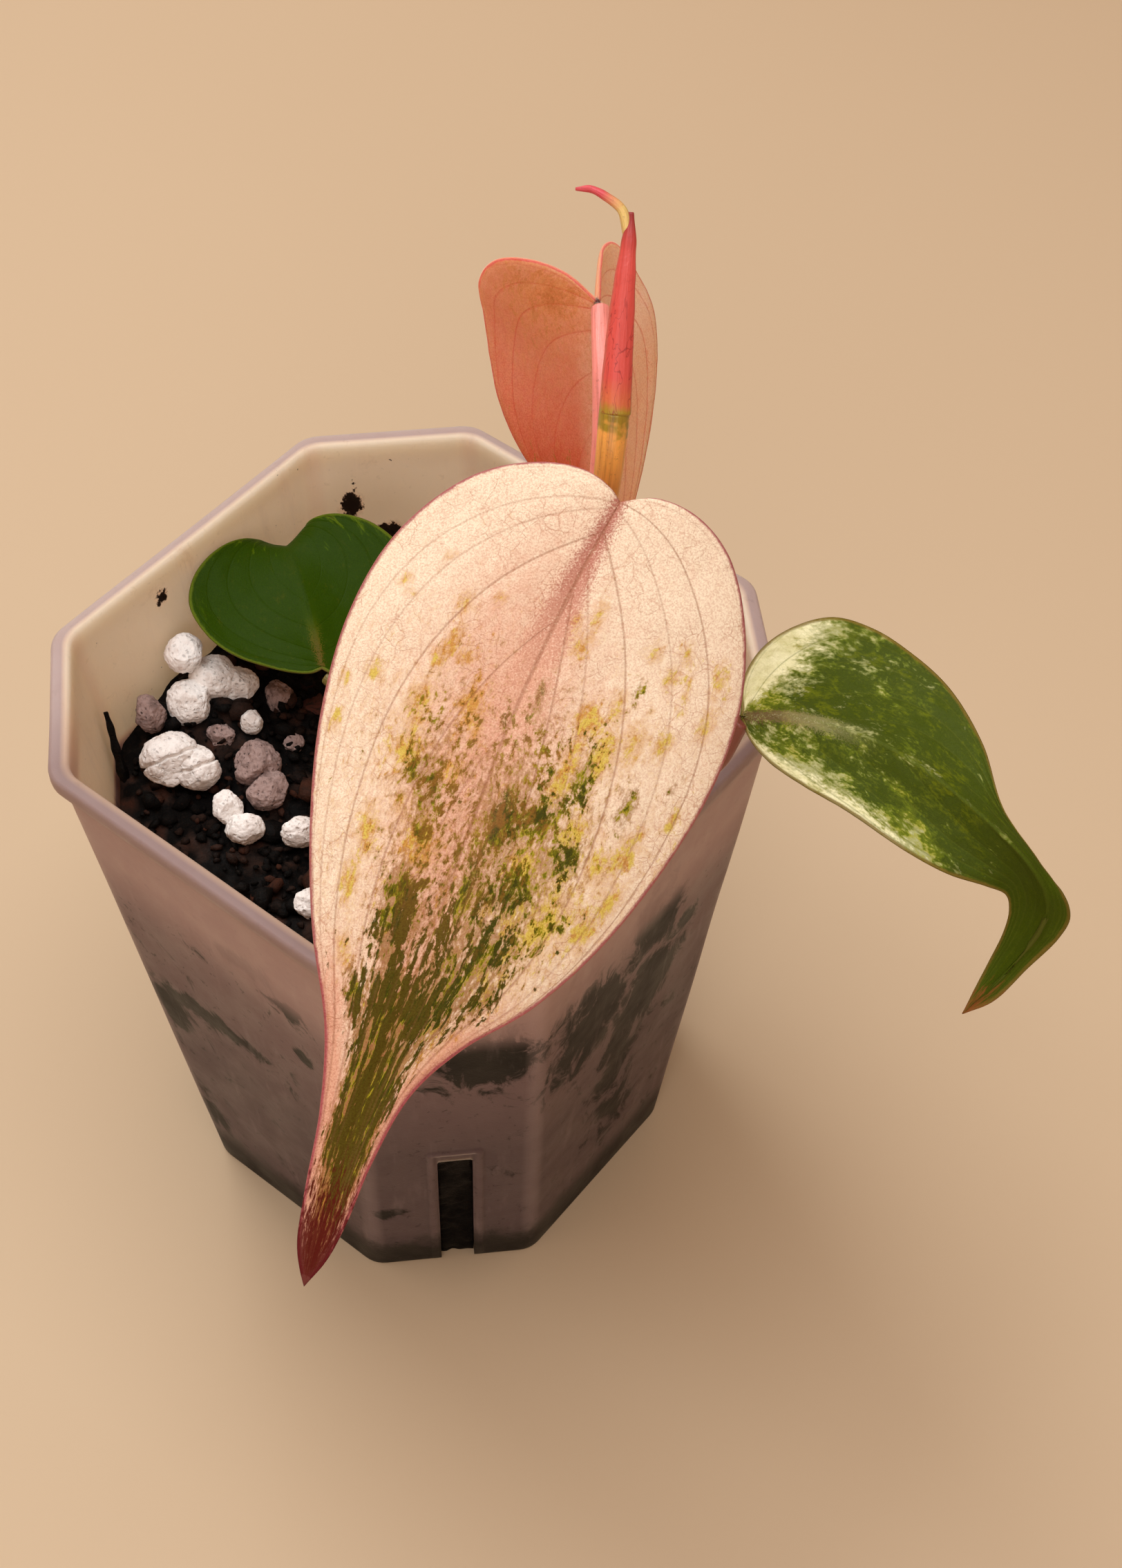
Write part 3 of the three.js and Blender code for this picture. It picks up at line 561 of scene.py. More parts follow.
def blade_body(leaf, thickness, quilt, fields):
    """Closed blade round its middle surface, with the values that its finish reads.

    The upper face is the sheet plus half the thickness, less quilt times a bell curve over the distance to
    the nearest vein. The lower face is the sheet less half the thickness, with the midrib and the veins
    standing out by the same bell curves. Both waver alike by a smooth noise.
    """
    sheet, t, q, width = blade_sheet(leaf)
    veins = veins_of(leaf, sheet, t, q)
    tint = fields(leaf, sheet, t, q)
    near = np.abs(veins[..., 0] - np.round(veins[..., 0])) * veins[..., 1]
    off, margin = np.abs(q) * width, (1 - np.abs(q)) * width
    taper = np.clip((1 - t) * leaf["rows"] / 12, 0.25, 1)
    line = bell(near, 0, VEIN_REACH) * veins[..., 2]
    rib = bell(off, 0, RIB_REACH)
    wave = WAVER * (lumps(sheet, 9, 1) + 0.5 * lumps(sheet, 4, 2)) * np.clip(margin / 2, 0.2, 1) * taper
    sheet = sheet + facing_of(sheet) * wave[..., None]
    facing = facing_of(sheet)
    half = thickness * np.clip(0.3 + margin / 4, 0.3, 0.5) * taper
    over = half - quilt * (line + 1.2 * rib) + 0.04 * lumps(sheet, 1.1, 3)
    under = half + 0.8 * quilt * line + 2.4 * quilt * rib * (1 - t) + 0.02 * lumps(sheet, 0.9, 4)
    top, bottom = sheet + facing * over[..., None], sheet - facing * under[..., None]
    out = 0.12 * taper[:, :1, None]
    rims = [(top[:, [last]] + bottom[:, [last]]) / 2 + unit(sheet[:, [last]] - sheet[:, [inner]]) * out
            for last, inner in ((-1, -3), (0, 2))]
    rings = np.concatenate([top, rims[0], bottom[:, ::-1], rims[1]], axis=1)
    length = np.linalg.norm(np.diff(sheet[:, leaf["columns"]], axis=0), axis=1).sum()
    flow = np.stack([t * length, q * (0.55 * width + 0.25 * width.max()), np.zeros_like(t)], -1)
    return skin(
        rings, [leaf["stalk"], leaf["tip"]], veins=wrapped(veins), flow=wrapped(flow), tint=wrapped(tint),
        upper=wrapped(np.ones_like(t), np.zeros_like(t)), edge=wrapped(np.stack([margin, off, t], -1)),
    )


def front_fields(leaf, sheet, t, q):
    """Green, yellow and pink shares over the front leaf: patches, with a mottled lower half."""
    green, dark, gold, ochre = (marks(sheet, leaf, patches) for patches in FRONT_MARKS)
    neck = between(t, 0.6, 0.7)
    green = 0.75 * green + 0.9 * dark - 0.75 + 0.12 * gold
    green += between(t, 0.2, 0.45) * (0.35 + 0.7 * bell(q, -0.15, 0.42) + 0.5 * bell(q, 0.38, 0.22))
    green += between(t, 0.36, 0.56) * 0.25 * bell(q, -0.38, 0.42, 4)
    green -= 0.2 * neck * (1 - between(t, 0.8, 0.88))
    green += between(t, 0.45, 0.6) * 0.3 * bell(q, -0.6, 0.3)
    green += (0.15 * neck + 0.5 * between(t, 0.82, 0.9)) * bell(q, 0, 0.85, 4)
    yellow = 0.8 * gold + 0.7 * ochre - 0.2 - 0.2 * neck
    yellow += between(t, 0.22, 0.45) * (0.2 + 0.3 * bell(q, -0.4, 0.5) + 0.25 * bell(q, 0.45, 0.4))
    yellow += 0.35 * bell(q, -0.68, 0.28) * between(t, 0.45, 0.55) * (1 - between(t, 0.75, 0.85))
    pink = 0.7 * bell(q, 0.22, 0.34) * np.clip(t / 0.35, 0.25, 1)
    pink += 0.4 * bell(q, -0.15, 0.3) * between(t, 0.2, 0.4)
    pink += np.clip((np.abs(q) - 0.55) / 0.3, 0, 1) * between(t, 0.62, 0.72) + 0.8 * between(t, 0.76, 0.88)
    return np.stack([green, yellow, pink], -1)


def back_fields(leaf, sheet, t, q):
    """Olive, orange and brick shares over the face of the back leaf that looks at the front leaf."""
    olive = 0.75 * bell(q, 0.55, 0.4) * bell(t, 0.2, 0.2)
    brick = np.clip(0.1 + 1.3 * t, 0, 1) * np.clip((q - 0.02) / 0.2, 0, 1)
    return np.stack([olive - 0.6 * (q < 0), 0.2 * (q > 0), brick], -1)


def right_fields(leaf, sheet, t, q):
    """Green, yellow and cream shares over the right leaf: cream on the upper lobe and the front edge."""
    pale = 3.2 * bell(q, -0.95, 0.5) * bell(t, 0.04, 0.14)
    pale += 1.3 * bell(q, 1, 0.3) * np.clip((0.66 - t) / 0.25, 0, 1) * np.clip(t / 0.05, 0, 1)
    pale += 0.5 * bell(q, -0.04, 0.08) * np.clip((t - 0.25) / 0.1, 0, 1) * (t < 0.72)
    green = 0.95 + 0.55 * np.clip(t / 0.5, 0, 1) - pale + 0.9 * np.clip((t - 0.64) / 0.06, 0, 1)
    return np.stack([green, 0.3 + 0 * t, 0.25 + 0 * t], -1)


def small_fields(leaf, sheet, t, q):
    """Deep green all over the small leaf, a little lighter along its edges."""
    return np.stack([2.0 - 0.6 * bell(np.abs(q), 1, 0.15), 0.5 + 0 * t, 0 * t], -1)


def leaf_finish(name, look, rib_reach=0.5, rib_width=1.7, velvet=0.02, gloss=0.5, net=1.0, speckle=1.0,
                mottle=1.0, coarse=1.0, soft=0.0, strands=1.0, glow=0.0):
    """Leaf skin: a grainy base, yellow and green patches with crumbling edges, a fine net, drawn veins, a
    band along the midrib with pale specks of painted sparkle, a coloured rim and tip, and another tone on the
    lower face."""
    r = Recipe(name, look)
    vein, spacing, strength = r.parts(r.value("veins", "Vector"))
    greens, yellows, pinks = r.parts(r.value("tint", "Vector"))
    margin, off, t = r.parts(r.value("edge", "Vector"))

    # Noises, stretched along the veins
    grain = r.noise(0.17, 2, 0.7)
    streaks = r.scaled(r.moved(r.value("flow", "Vector"), 1.0, 4, 1), (0.55, 1, 1))
    elsewhere = r.moved(streaks, 9.0, 30, 1)
    crumb = r.noise(0.55 * coarse, 3, 0.75, 0.2, flow=streaks)
    blotch = r.noise(2.0 * coarse, 3, 0.6, 0.2, flow=streaks)
    bits = r.noise(0.7 * coarse, 3, 0.75, 0.2, flow=elsewhere)
    other = r.noise(2.4 * coarse, 3, 0.6, 0.2, flow=elsewhere)
    grit = r.noise(0.32, 2, 0.6, flow=streaks)
    strand = r.noise(0.8, 3, 0.6, 0.2, flow=r.scaled(streaks, (0.25, 1, 1)))
    narrow = r.rise(t, 0.5, 0.75)
    fibres = r.times(r.around(strand, 5.0 * strands), narrow)

    # Veins and net
    line = r.math("ABSOLUTE", r.math("SUBTRACT", r.math("FRACT", r.total(vein, 0.5)), 0.5))
    line = r.times(r.fall(r.times(line, spacing), 0.02, 0.15), strength)
    wavy = r.moved(r.place, 0.9, 1.4)
    wide, fine = r.fall(r.cells(1.7, wavy), 0.0, 0.035), r.fall(r.cells(0.8, wavy), 0.0, 0.05, 0.6)
    hair = r.times(r.math("MAXIMUM", wide, fine), r.rise(other, 0.4, 0.6, 0.15, 1.0), net)

    # Base, net, tan and brown washes
    r.colour = r.mix(r.math("ADD", pinks, r.around(bits, mottle), clamp=True), "base", "blush")
    r.lay("net", hair, 0.34)
    tan = r.rise(r.total(yellows, r.around(crumb, 2.2 * mottle), r.around(grain, 1.4 * mottle)), 0.0, 0.8)
    r.lay("ochre", tan, 0.5)
    wash = r.rise(r.total(greens, r.around(grit, 1.6 * mottle), r.around(crumb, 2.2 * mottle)), -0.1, 0.55)
    r.lay("bronze", wash, r.rise(t, 0.5, 0.75, 0.6, 0.85))

    # Yellow patches
    loose = r.total(r.around(bits, 2.2 * mottle), r.around(other, 1.7 * mottle), r.around(grit, 1.4 * mottle))
    gold = r.mix(r.rise(r.total(crumb, r.times(pinks, 0.2)), 0.5, 0.62), "yellow", "ochre")
    r.lay(gold, r.rise(r.total(yellows, loose), 0.45, 1.05, 0.0, 0.85))

    # Green patches, with brown where pink lies under them
    ragged = r.total(r.around(crumb, 3.4 * mottle), r.around(blotch, 1.8 * mottle),
                     r.around(grit, 1.5 * mottle), r.times(r.around(strand, 5.4 * strands), narrow))
    green = r.total(greens, ragged)
    deeper = r.times(r.total(0.42, r.around(strand, 5.0 * strands)), narrow)
    depth = r.total(green, r.around(other, 2.2), r.around(bits, 1.2), deeper)
    leafy = r.ramp(r.times(depth, 0.5), (0.22, "lime"), (0.37, "green"), (0.58, "dark"))
    brown = r.rise(r.total(pinks, r.around(bits, 2.6), r.around(grit, 1.6), fibres), 0.2, 0.9)
    leafy = r.mix(r.times(brown, r.rise(t, 0.5, 0.7, 0.7, 0.15)), leafy, "bronze")
    covered = r.rise(green, 0.45 - 0.5 * soft, 0.62 + soft)
    r.lay(leafy, covered, 0.95)

    # Band along the midrib, with pale specks of painted sparkle, which gives way to the patches
    near = r.math("SUBTRACT", off, r.times(r.rise(t, 0.05, 0.5), rib_width))
    band = r.fall(r.total(near, r.around(grain, 2.6)), 0.1 * rib_width, 0.9 * rib_width)
    hidden = r.times(r.math("MAXIMUM", covered, wash), r.rise(t, 0.25, 0.42), 0.8)
    band = r.times(band, r.fall(t, 0.4 * rib_reach, 1.35 * rib_reach), r.rest(hidden))
    r.lay(r.mix(r.rise(t, 0.08, 0.42), "rib", "blush"), band, 0.85)
    # Pale specks in the band: painted sparkle.
    r.lay("base", band, r.rise(grain, 0.58, 0.7), 0.6)

    # Drawn veins, edging of the narrow end, rim, fine dark grain, lower face and tip
    middle = r.times(r.fall(off, 0.06, 0.3), r.rise(t, 0.5, 0.9, 0.5, 0.1))
    drawn = r.math("MAXIMUM", r.times(line, 0.5), middle)
    r.lay("vein", drawn, r.rest(r.times(covered, 0.6)))
    neck = r.times(r.rise(t, 0.66, 0.8), r.fall(r.total(margin, r.around(crumb, 1.6)), 0.1, 0.8, 0.85))
    edging = r.mix(r.rise(crumb, 0.35, 0.7), "blush", "rim")
    r.lay(edging, neck, look["edging"])
    r.lay("rim", r.fall(r.total(margin, r.around(crumb, 0.5)), 0.05, 0.36, 0.85))
    r.lay("net", r.fall(grain, 0.34, 0.62), 0.3 * speckle, blend="MULTIPLY")
    r.lay("under", r.rest(r.value("upper")), 0.8)
    end, start = r.total(t, r.around(crumb, 0.25)), look["tip_from"]
    r.lay("tip", r.rise(end, start - 0.03, start + 0.03, 0.0, 0.92))
    height = r.total(r.times(grain, 0.9), r.times(hair, -0.3), r.times(line, -0.6))
    return r.finish(
        gloss, height, 0.05, Sheen_Weight=velvet, Sheen_Roughness=0.4, Specular_IOR_Level=0.04,
        Subsurface_Weight=glow, Subsurface_Radius=(1.0, 0.6, 0.4), Subsurface_Scale=0.0015 + 0.0015 * glow,
    )


# Stem, sheath and stalks

STEM = [
    (14, 2, 44), (14, 2, 60), (14.6, -1.5, 80), (15.8, -7, 97), (17.2, -13.5, 112), (17.9, -16.8, 124),
    (18.7, -14.4, 130.1),
]
STEM_RADII = (1.5, 1.5, 1.9, 1.5, 1.9, 1.45, 1.8, 1.4, 1.75, 1.35, 1.25, 1.3, 1.4)
SHEATH = [
    (18.62, -14.75, 129.65), (19.4, -10.8, 134.6), (20.2, -7.4, 138.9), (20.9, -4.7, 142.1),
    (21.1, -3.7, 143.3),
]
SHEATH_RADII = (1.38, 1.32, 1.22, 1.1, 0.92, 0.68, 0.28)
NEW_LEAF = [
    (20.8, -4.9, 141.6), (20.4, -3.5, 143.4), (19, -2.7, 144.3), (17.6, -2.1, 144.8), (16.4, -1.8, 144.7),
]
NEW_LEAF_RADII = (0.5, 0.5, 0.46, 0.42, 0.34, 0.16)

# Each stalk's tone, path and radii.
STALKS = {
    "front": ("brown", [(15.8, -7, 97), (15.5, -13, 104), (16.2, -20.5, 115), (17.4, -23.8, 123),
                        (17.8, -24.4, 126.6)], (1.4, 1.15, 1.1, 1.1, 1)),
    "right": ("brown", [(14.6, -1.5, 80), (20.5, -10, 80.8), (29, -19.8, 84.6), (32.3, -19.5, 91.4)],
              (1.3, 1.05, 1, 1, 0.95)),
    "back": ("pink", [(17.2, -13.5, 112), (18.4, -9.6, 118), (19.2, -3.2, 123.4), (20, 5.1, 125.4)],
             (1.4, 1.1, 1, 1, 0.95)),
    "small": ("green", [(14, 1.8, 64), (8, 1, 67), (0, 1.2, 70.3), (-6, 3, 72.4), (-9.7, 6.3, 73.9)],
              (1.3, 1.05, 1, 0.95, 0.8)),
}


def tube_body(points, radii, rings=120, around=32, shape=None):
    """Round tube along a smooth curve.

    A point is the curve plus r(s) (cos a, sin a) in the plane square to it, where r glides between the given
    radii and rounds off over the last 0.3 mm. shape(s, a) gives a factor on it for keels, grooves and lips.
    """
    share = 0.5 - 0.5 * np.cos(np.linspace(0, math.pi, rings))
    centre = spline(points, share)
    forward = unit(np.gradient(centre, share, axis=0))
    side = unit(np.cross(forward, (1.0, 0.0, 0.0)))
    up = np.cross(side, forward)
    knot = share * (len(radii) - 1)
    low = np.minimum(knot.astype(int), len(radii) - 2)
    part = knot - low
    part = part * part * (3 - 2 * part)
    radius = np.take(radii, low) * (1 - part) + np.take(radii, low + 1) * part
    angle = np.linspace(0, 2 * math.pi, around, endpoint=False)
    factor = shape(share[:, None], angle[None]) if shape else np.ones((rings, around))
    length = np.linalg.norm(np.diff(centre, axis=0), axis=1).sum()
    inward = np.clip(np.minimum(share, 1 - share) * length / 0.3, 0, 1)
    reach = (radius * (0.7 + 0.3 * np.sqrt(inward * (2 - inward))))[:, None] * factor
    ring = centre[:, None] + side[:, None] * (reach * np.cos(angle))[..., None]
    ring = ring + up[:, None] * (reach * np.sin(angle))[..., None]
    along = np.broadcast_to(share[:, None], reach.shape)
    flow = np.stack([along * length, np.cos(angle) + 0 * along, np.sin(angle) + 0 * along], -1)
    return skin(ring, flow=flow, share=along)


def stem_finish(name, look, stops, streak, dark="streak", freckles=0.3, veins=0.0):
    """Smooth plant skin: colours along the length, fine lengthwise streaks and small freckles."""
    r = Recipe(name, look)
    flow, share = r.value("flow", "Vector"), r.value("share")
    r.colour = r.ramp(r.total(share, r.around(r.noise(1.5, 2), 0.08)), *stops)
    lines = r.noise(0.22, 3, 0.6, flow=r.scaled(flow, (0.04, 1, 1)))
    soft = r.noise(0.7, 2, 0.5, flow=r.scaled(flow, (0.12, 1, 1)))
    r.lay(dark, r.rise(lines, 0.45, 0.72), streak)
    r.lay(dark, r.rise(soft, 0.45, 0.7), 0.6 * streak)
    r.lay(dark, r.rise(r.noise(0.35, 2, 0.7), 0.6, 0.75), freckles)
    if veins:
        wander = r.noise(0.9, 2, 0.6, 0.6, flow=r.scaled(flow, (0.3, 1, 1)))
        thin = r.fall(r.math("ABSOLUTE", r.math("SUBTRACT", wander, 0.5)), 0.0, 0.02, veins)
        r.lay(dark, thin, r.rise(share, 0.45, 0.75, 1.0, 0.1))
    height = r.total(lines, r.times(r.noise(0.3, 2), 0.4))
    return r.finish(
        0.4, height, 0.08, Coat_Weight=0.15, Coat_Roughness=0.35, Subsurface_Weight=0.15,
        Subsurface_Radius=(1.0, 0.4, 0.2), Subsurface_Scale=0.001,
    )


# Pot

POT_HEIGHT = 80
FOOT_HALF = 27.6
WALL_TOP_HALF = 34.3
CORNER_LEG = 14.2
CORNER_ROUNDING = 1.6
CORNER_POINTS = 6
SIDE_POINTS = 38
WALL = 1.2
SLOT_WIDTH = 4.2
SLOT_TOP = 31
SLOT_SHIFT = 0.6
SLOT_INNER = 25
FRAME_SIDE = 2.85
FRAME_TOP = 33.15
SLOT_REACH = (-6.8, -5.8, -5, -4.4, -3.7, -3.4, -3.25, -3.1, -2.85, -2.6, -2.45, -2.3, -1.9, -1.3, -0.7)
QUARTER_TURNS = [np.array([[c, s, 0], [-s, c, 0], [0, 0, 1]]) for c, s in ((1, 0), (0, 1), (-1, 0), (0, -1))]

# Rows of the pot's skin. Those of the wall and the inner wall are heights alone. The others have a height, a
# half width, an inset and a share of the way out from the axis.
FOOT_ROWS = [
    (0.3, FOOT_HALF, 0, 0.3), (0.3, FOOT_HALF, 0, 0.7), (0.3, FOOT_HALF, 0, 0.93), (0, FOOT_HALF, 0, 0.95),
    (0, FOOT_HALF, 0, 0.985), (0.15, 27.58, 0, 1),
]
WALL_ROWS = (
    0.35, 1, 2, 3.5, 5, 7, 9, 11, 13, 16, 19, 22, 25, 28, 30, 31, 32, 32.5, 32.75, 32.95, 33.15, 33.35, 33.55,
    33.8, 34.3, 35, *np.linspace(36, 77.2, 46),
)
LIP_ROWS = [
    (77.45, 34.3, 0, 1), (77.65, 34.7, 0, 1), (77.95, 34.95, 0, 1), (78.6, 35, 0, 1), (79.5, 35, 0, 1),
    (79.85, 34.92, 0, 1), (80, 34.7, 0, 1), (80, 34.3, 0.2, 1), (80, 34.3, 0.8, 1), (79.85, 34.3, 1.1, 1),
]
INNER_ROWS = np.linspace(79.4, 2.2, 60)
FLOOR_ROWS = [
    (1.6, 27.7, WALL, 0.98), (1.4, 27.7, WALL, 0.93), (1.4, 27.7, WALL, 0.5), (1.4, 27.7, WALL, 0.1),
]


def wall_half(z):
    """Half width of the wall at a height."""
    return FOOT_HALF + (WALL_TOP_HALF - FOOT_HALF) * np.asarray(z) / POT_HEIGHT


def cut_distance(z):
    """Distance from the axis to the middle of a cut corner at a height."""
    return math.sqrt(2) * wall_half(z) - CORNER_LEG / math.sqrt(2)


def pot_outline(half, inset):
    """Square with cut corners, turned 45 degrees, at several half widths.

    Each corner is rounded by a parabola between two points on its sides. Cut corners get extra points
    beside the drain slot. Returns points (x, y), each point's place across its cut corner or 99, and how far
    it is round a corner.
    """
    leg = CORNER_LEG - (2 - math.sqrt(2)) * inset
    reach, corner = math.sqrt(2) * (half - inset), leg / math.sqrt(2)
    first = np.stack([corner, corner - reach], -1)
    second = np.stack([reach - corner, -corner], -1)
    spots = np.array(SLOT_REACH + (0,) + tuple(-x for x in reversed(SLOT_REACH))) + SLOT_SHIFT
    bend = np.linspace(0, 1, CORNER_POINTS)[:, None]
    share = np.linspace(0, 1, SIDE_POINTS + 2)[1:-1, None]
    curve = lambda p, q, r: p * (1 - bend) ** 2 + 2 * q * bend * (1 - bend) + r * bend**2
    sides = []
    for turn in range(4):
        before, here, onward = (QUARTER_TURNS[(turn + step) % 4][:2, :2] for step in (-1, 0, 1))
        a, b = (first @ here)[:, None], (second @ here)[:, None]
        before, after = (second @ before)[:, None], (first @ onward)[:, None]
        cut = [CORNER_ROUNDING * unit(way) for way in (before - a, b - a, after - b)]
        start, end = a + cut[1], b - cut[1]
        sides += [
            curve(a + cut[0], a, start), start * (1 - share) + end * share, curve(end, b, b + cut[2]),
            (b + after) / 2 + unit(after - b) * spots[:, None],
        ]
    arc = np.sin(np.linspace(0, math.pi, CORNER_POINTS))
    across = np.concatenate([np.full(2 * CORNER_POINTS + SIDE_POINTS, 99.0), spots] * 4)
    rounded = np.concatenate([arc, np.zeros(SIDE_POINTS), arc, np.zeros(len(spots))] * 4)
    return np.concatenate(sides, axis=1), across, rounded


def frame_height(across, z):
    """Raised frame round a slot: a rounded ridge along an upright on each side and a bar over them."""
    beside, above = np.abs(across - SLOT_SHIFT) - FRAME_SIDE, z - FRAME_TOP
    away = np.where(above < 0, np.abs(beside), np.where(beside < 0, np.abs(above), np.hypot(beside, above)))
    return 0.3 * np.clip(1 - (away / 0.5) ** 4, 0, 1) * np.clip(z / 3, 0, 1)


# Patches of damp mix behind the wall, some on the right-front face also standing in as painted shade: centre
# and half lengths in millimetres.
WET_AND_SHADE = [
    (4.5, -35.5, 57, 8.5, 5, 6.5), (17, -28.5, 52, 8, 8, 10), (24.5, -22, 60, 5, 6, 7),
    (20.5, -22, 34, 4, 4, 10), (-21.2, -25.6, 65.3, 4.2, 4.2, 1.7), (-26, -18, 43, 8.5, 8.5, 2.2),
    (-31, -12.5, 38, 3, 3, 4.5), (-16.3, -30.1, 61.5, 1.6, 1.6, 1.6), (-15.6, -29.6, 51.5, 1.8, 1.8, 2),
    (-30, -10.5, 12, 4, 4, 4), (28.9, -16.5, 53, 2, 2, 2.5), (-8, -31, 16, 2.5, 2.5, 2.5),
    (6, 35.5, 56, 8, 4, 6), (-20, 26, 40, 7, 7, 9), (24, 22, 48, 8, 8, 5), (34, 2, 30, 4, 6, 9),
    (-35, 3, 24, 3, 6, 5), (16, 27, 20, 6, 6, 3), (25, -21, 45, 7, 7, 10), (23, -22, 20, 4, 4, 7),
    (-27.7, 18.6, 76, 1.1, 1.1, 1.1), (-5.1, 36.2, 71.2, 1.4, 1.4, 2.2), (-1.1, 35.6, 66.5, 2.6, 2.6, 1.6),
    (-12.5, 35, 75.5, 0.8, 0.8, 0.8),
]


def wet_field(points):
    """How damp the mix looks behind each point, partly painted shade on the right-front face: the highest
    exp(-d^2), d the distance over the reach.
    """
    patches = np.array(WET_AND_SHADE)
    away = [(((points - patch[:3]) / patch[3:]) ** 2).sum(-1) for patch in patches]
    return np.exp(-np.min(away, axis=0))


def pot_body():
    """Pot as one closed skin: from the middle of the foot out, up the wall, over the lip and down inside."""
    wall = lambda heights, inset: [(z, float(wall_half(z)), inset, 1) for z in heights]
    profile = FOOT_ROWS + wall(WALL_ROWS, 0) + LIP_ROWS + wall(INNER_ROWS, WALL) + FLOOR_ROWS
    z, half, inset, scale = (np.array(column, float) for column in zip(*profile))
    flat, across, rounded = pot_outline(half, inset)
    flat = flat * scale[:, None, None]
    height = np.broadcast_to(z[:, None], flat.shape[:2])
    rings = np.concatenate([flat, height[..., None]], -1)
    push = frame_height(across[None], height) * (inset == 0)[:, None]
    wave = 0.1 * lumps(rings, 16, 5) * np.clip(height / 10, 0, 1)
    rings[..., :2] += unit(flat) * (push + wave)[..., None]
    inside = np.broadcast_to((inset > 0.5)[:, None], height.shape).astype(float)
    # The corner value marks the rounded corners, where the finish paints a highlight.
    corner = np.broadcast_to(rounded, height.shape) + 0.0
    return skin(rings, wet=wet_field(rings), inside=inside, corner=corner)


def slot_cutter():
    """Four upright wedges that follow the lean of the cut corners, rounded at their upper ends."""
    z = np.array([-1, 10, 20, SLOT_TOP - 0.5, SLOT_TOP - 0.12, SLOT_TOP])
    half = SLOT_WIDTH / 2 - np.array([0, 0, 0, 0, 0.15, 0.5])
    right, left = SLOT_SHIFT + half, SLOT_SHIFT - half
    outer, inner = cut_distance(z) + 2, np.full_like(z, SLOT_INNER)
    corners = (right, outer), (right, inner), (left, inner), (left, outer)
    ring = np.stack([np.stack([x, -y, z], -1) for x, y in corners], 1)
    return merged(skin(ring @ turn) for turn in QUARTER_TURNS)


def cut_slots(piece):
    """Takes the four drain slots out of the pot."""
    tool = bpy.data.objects.new("slot_cutter", make_mesh("slot_cutter", slot_cutter()))
    bpy.context.scene.collection.objects.link(tool)
    cut = piece.modifiers.new("Slots", "BOOLEAN")
    cut.operation, cut.solver, cut.object = "DIFFERENCE", "EXACT", tool
    bpy.context.view_layer.update()
    mesh = bpy.data.meshes.new_from_object(piece.evaluated_get(bpy.context.evaluated_depsgraph_get()))
    piece.modifiers.clear()
    piece.data = mesh
    bpy.data.objects.remove(tool)


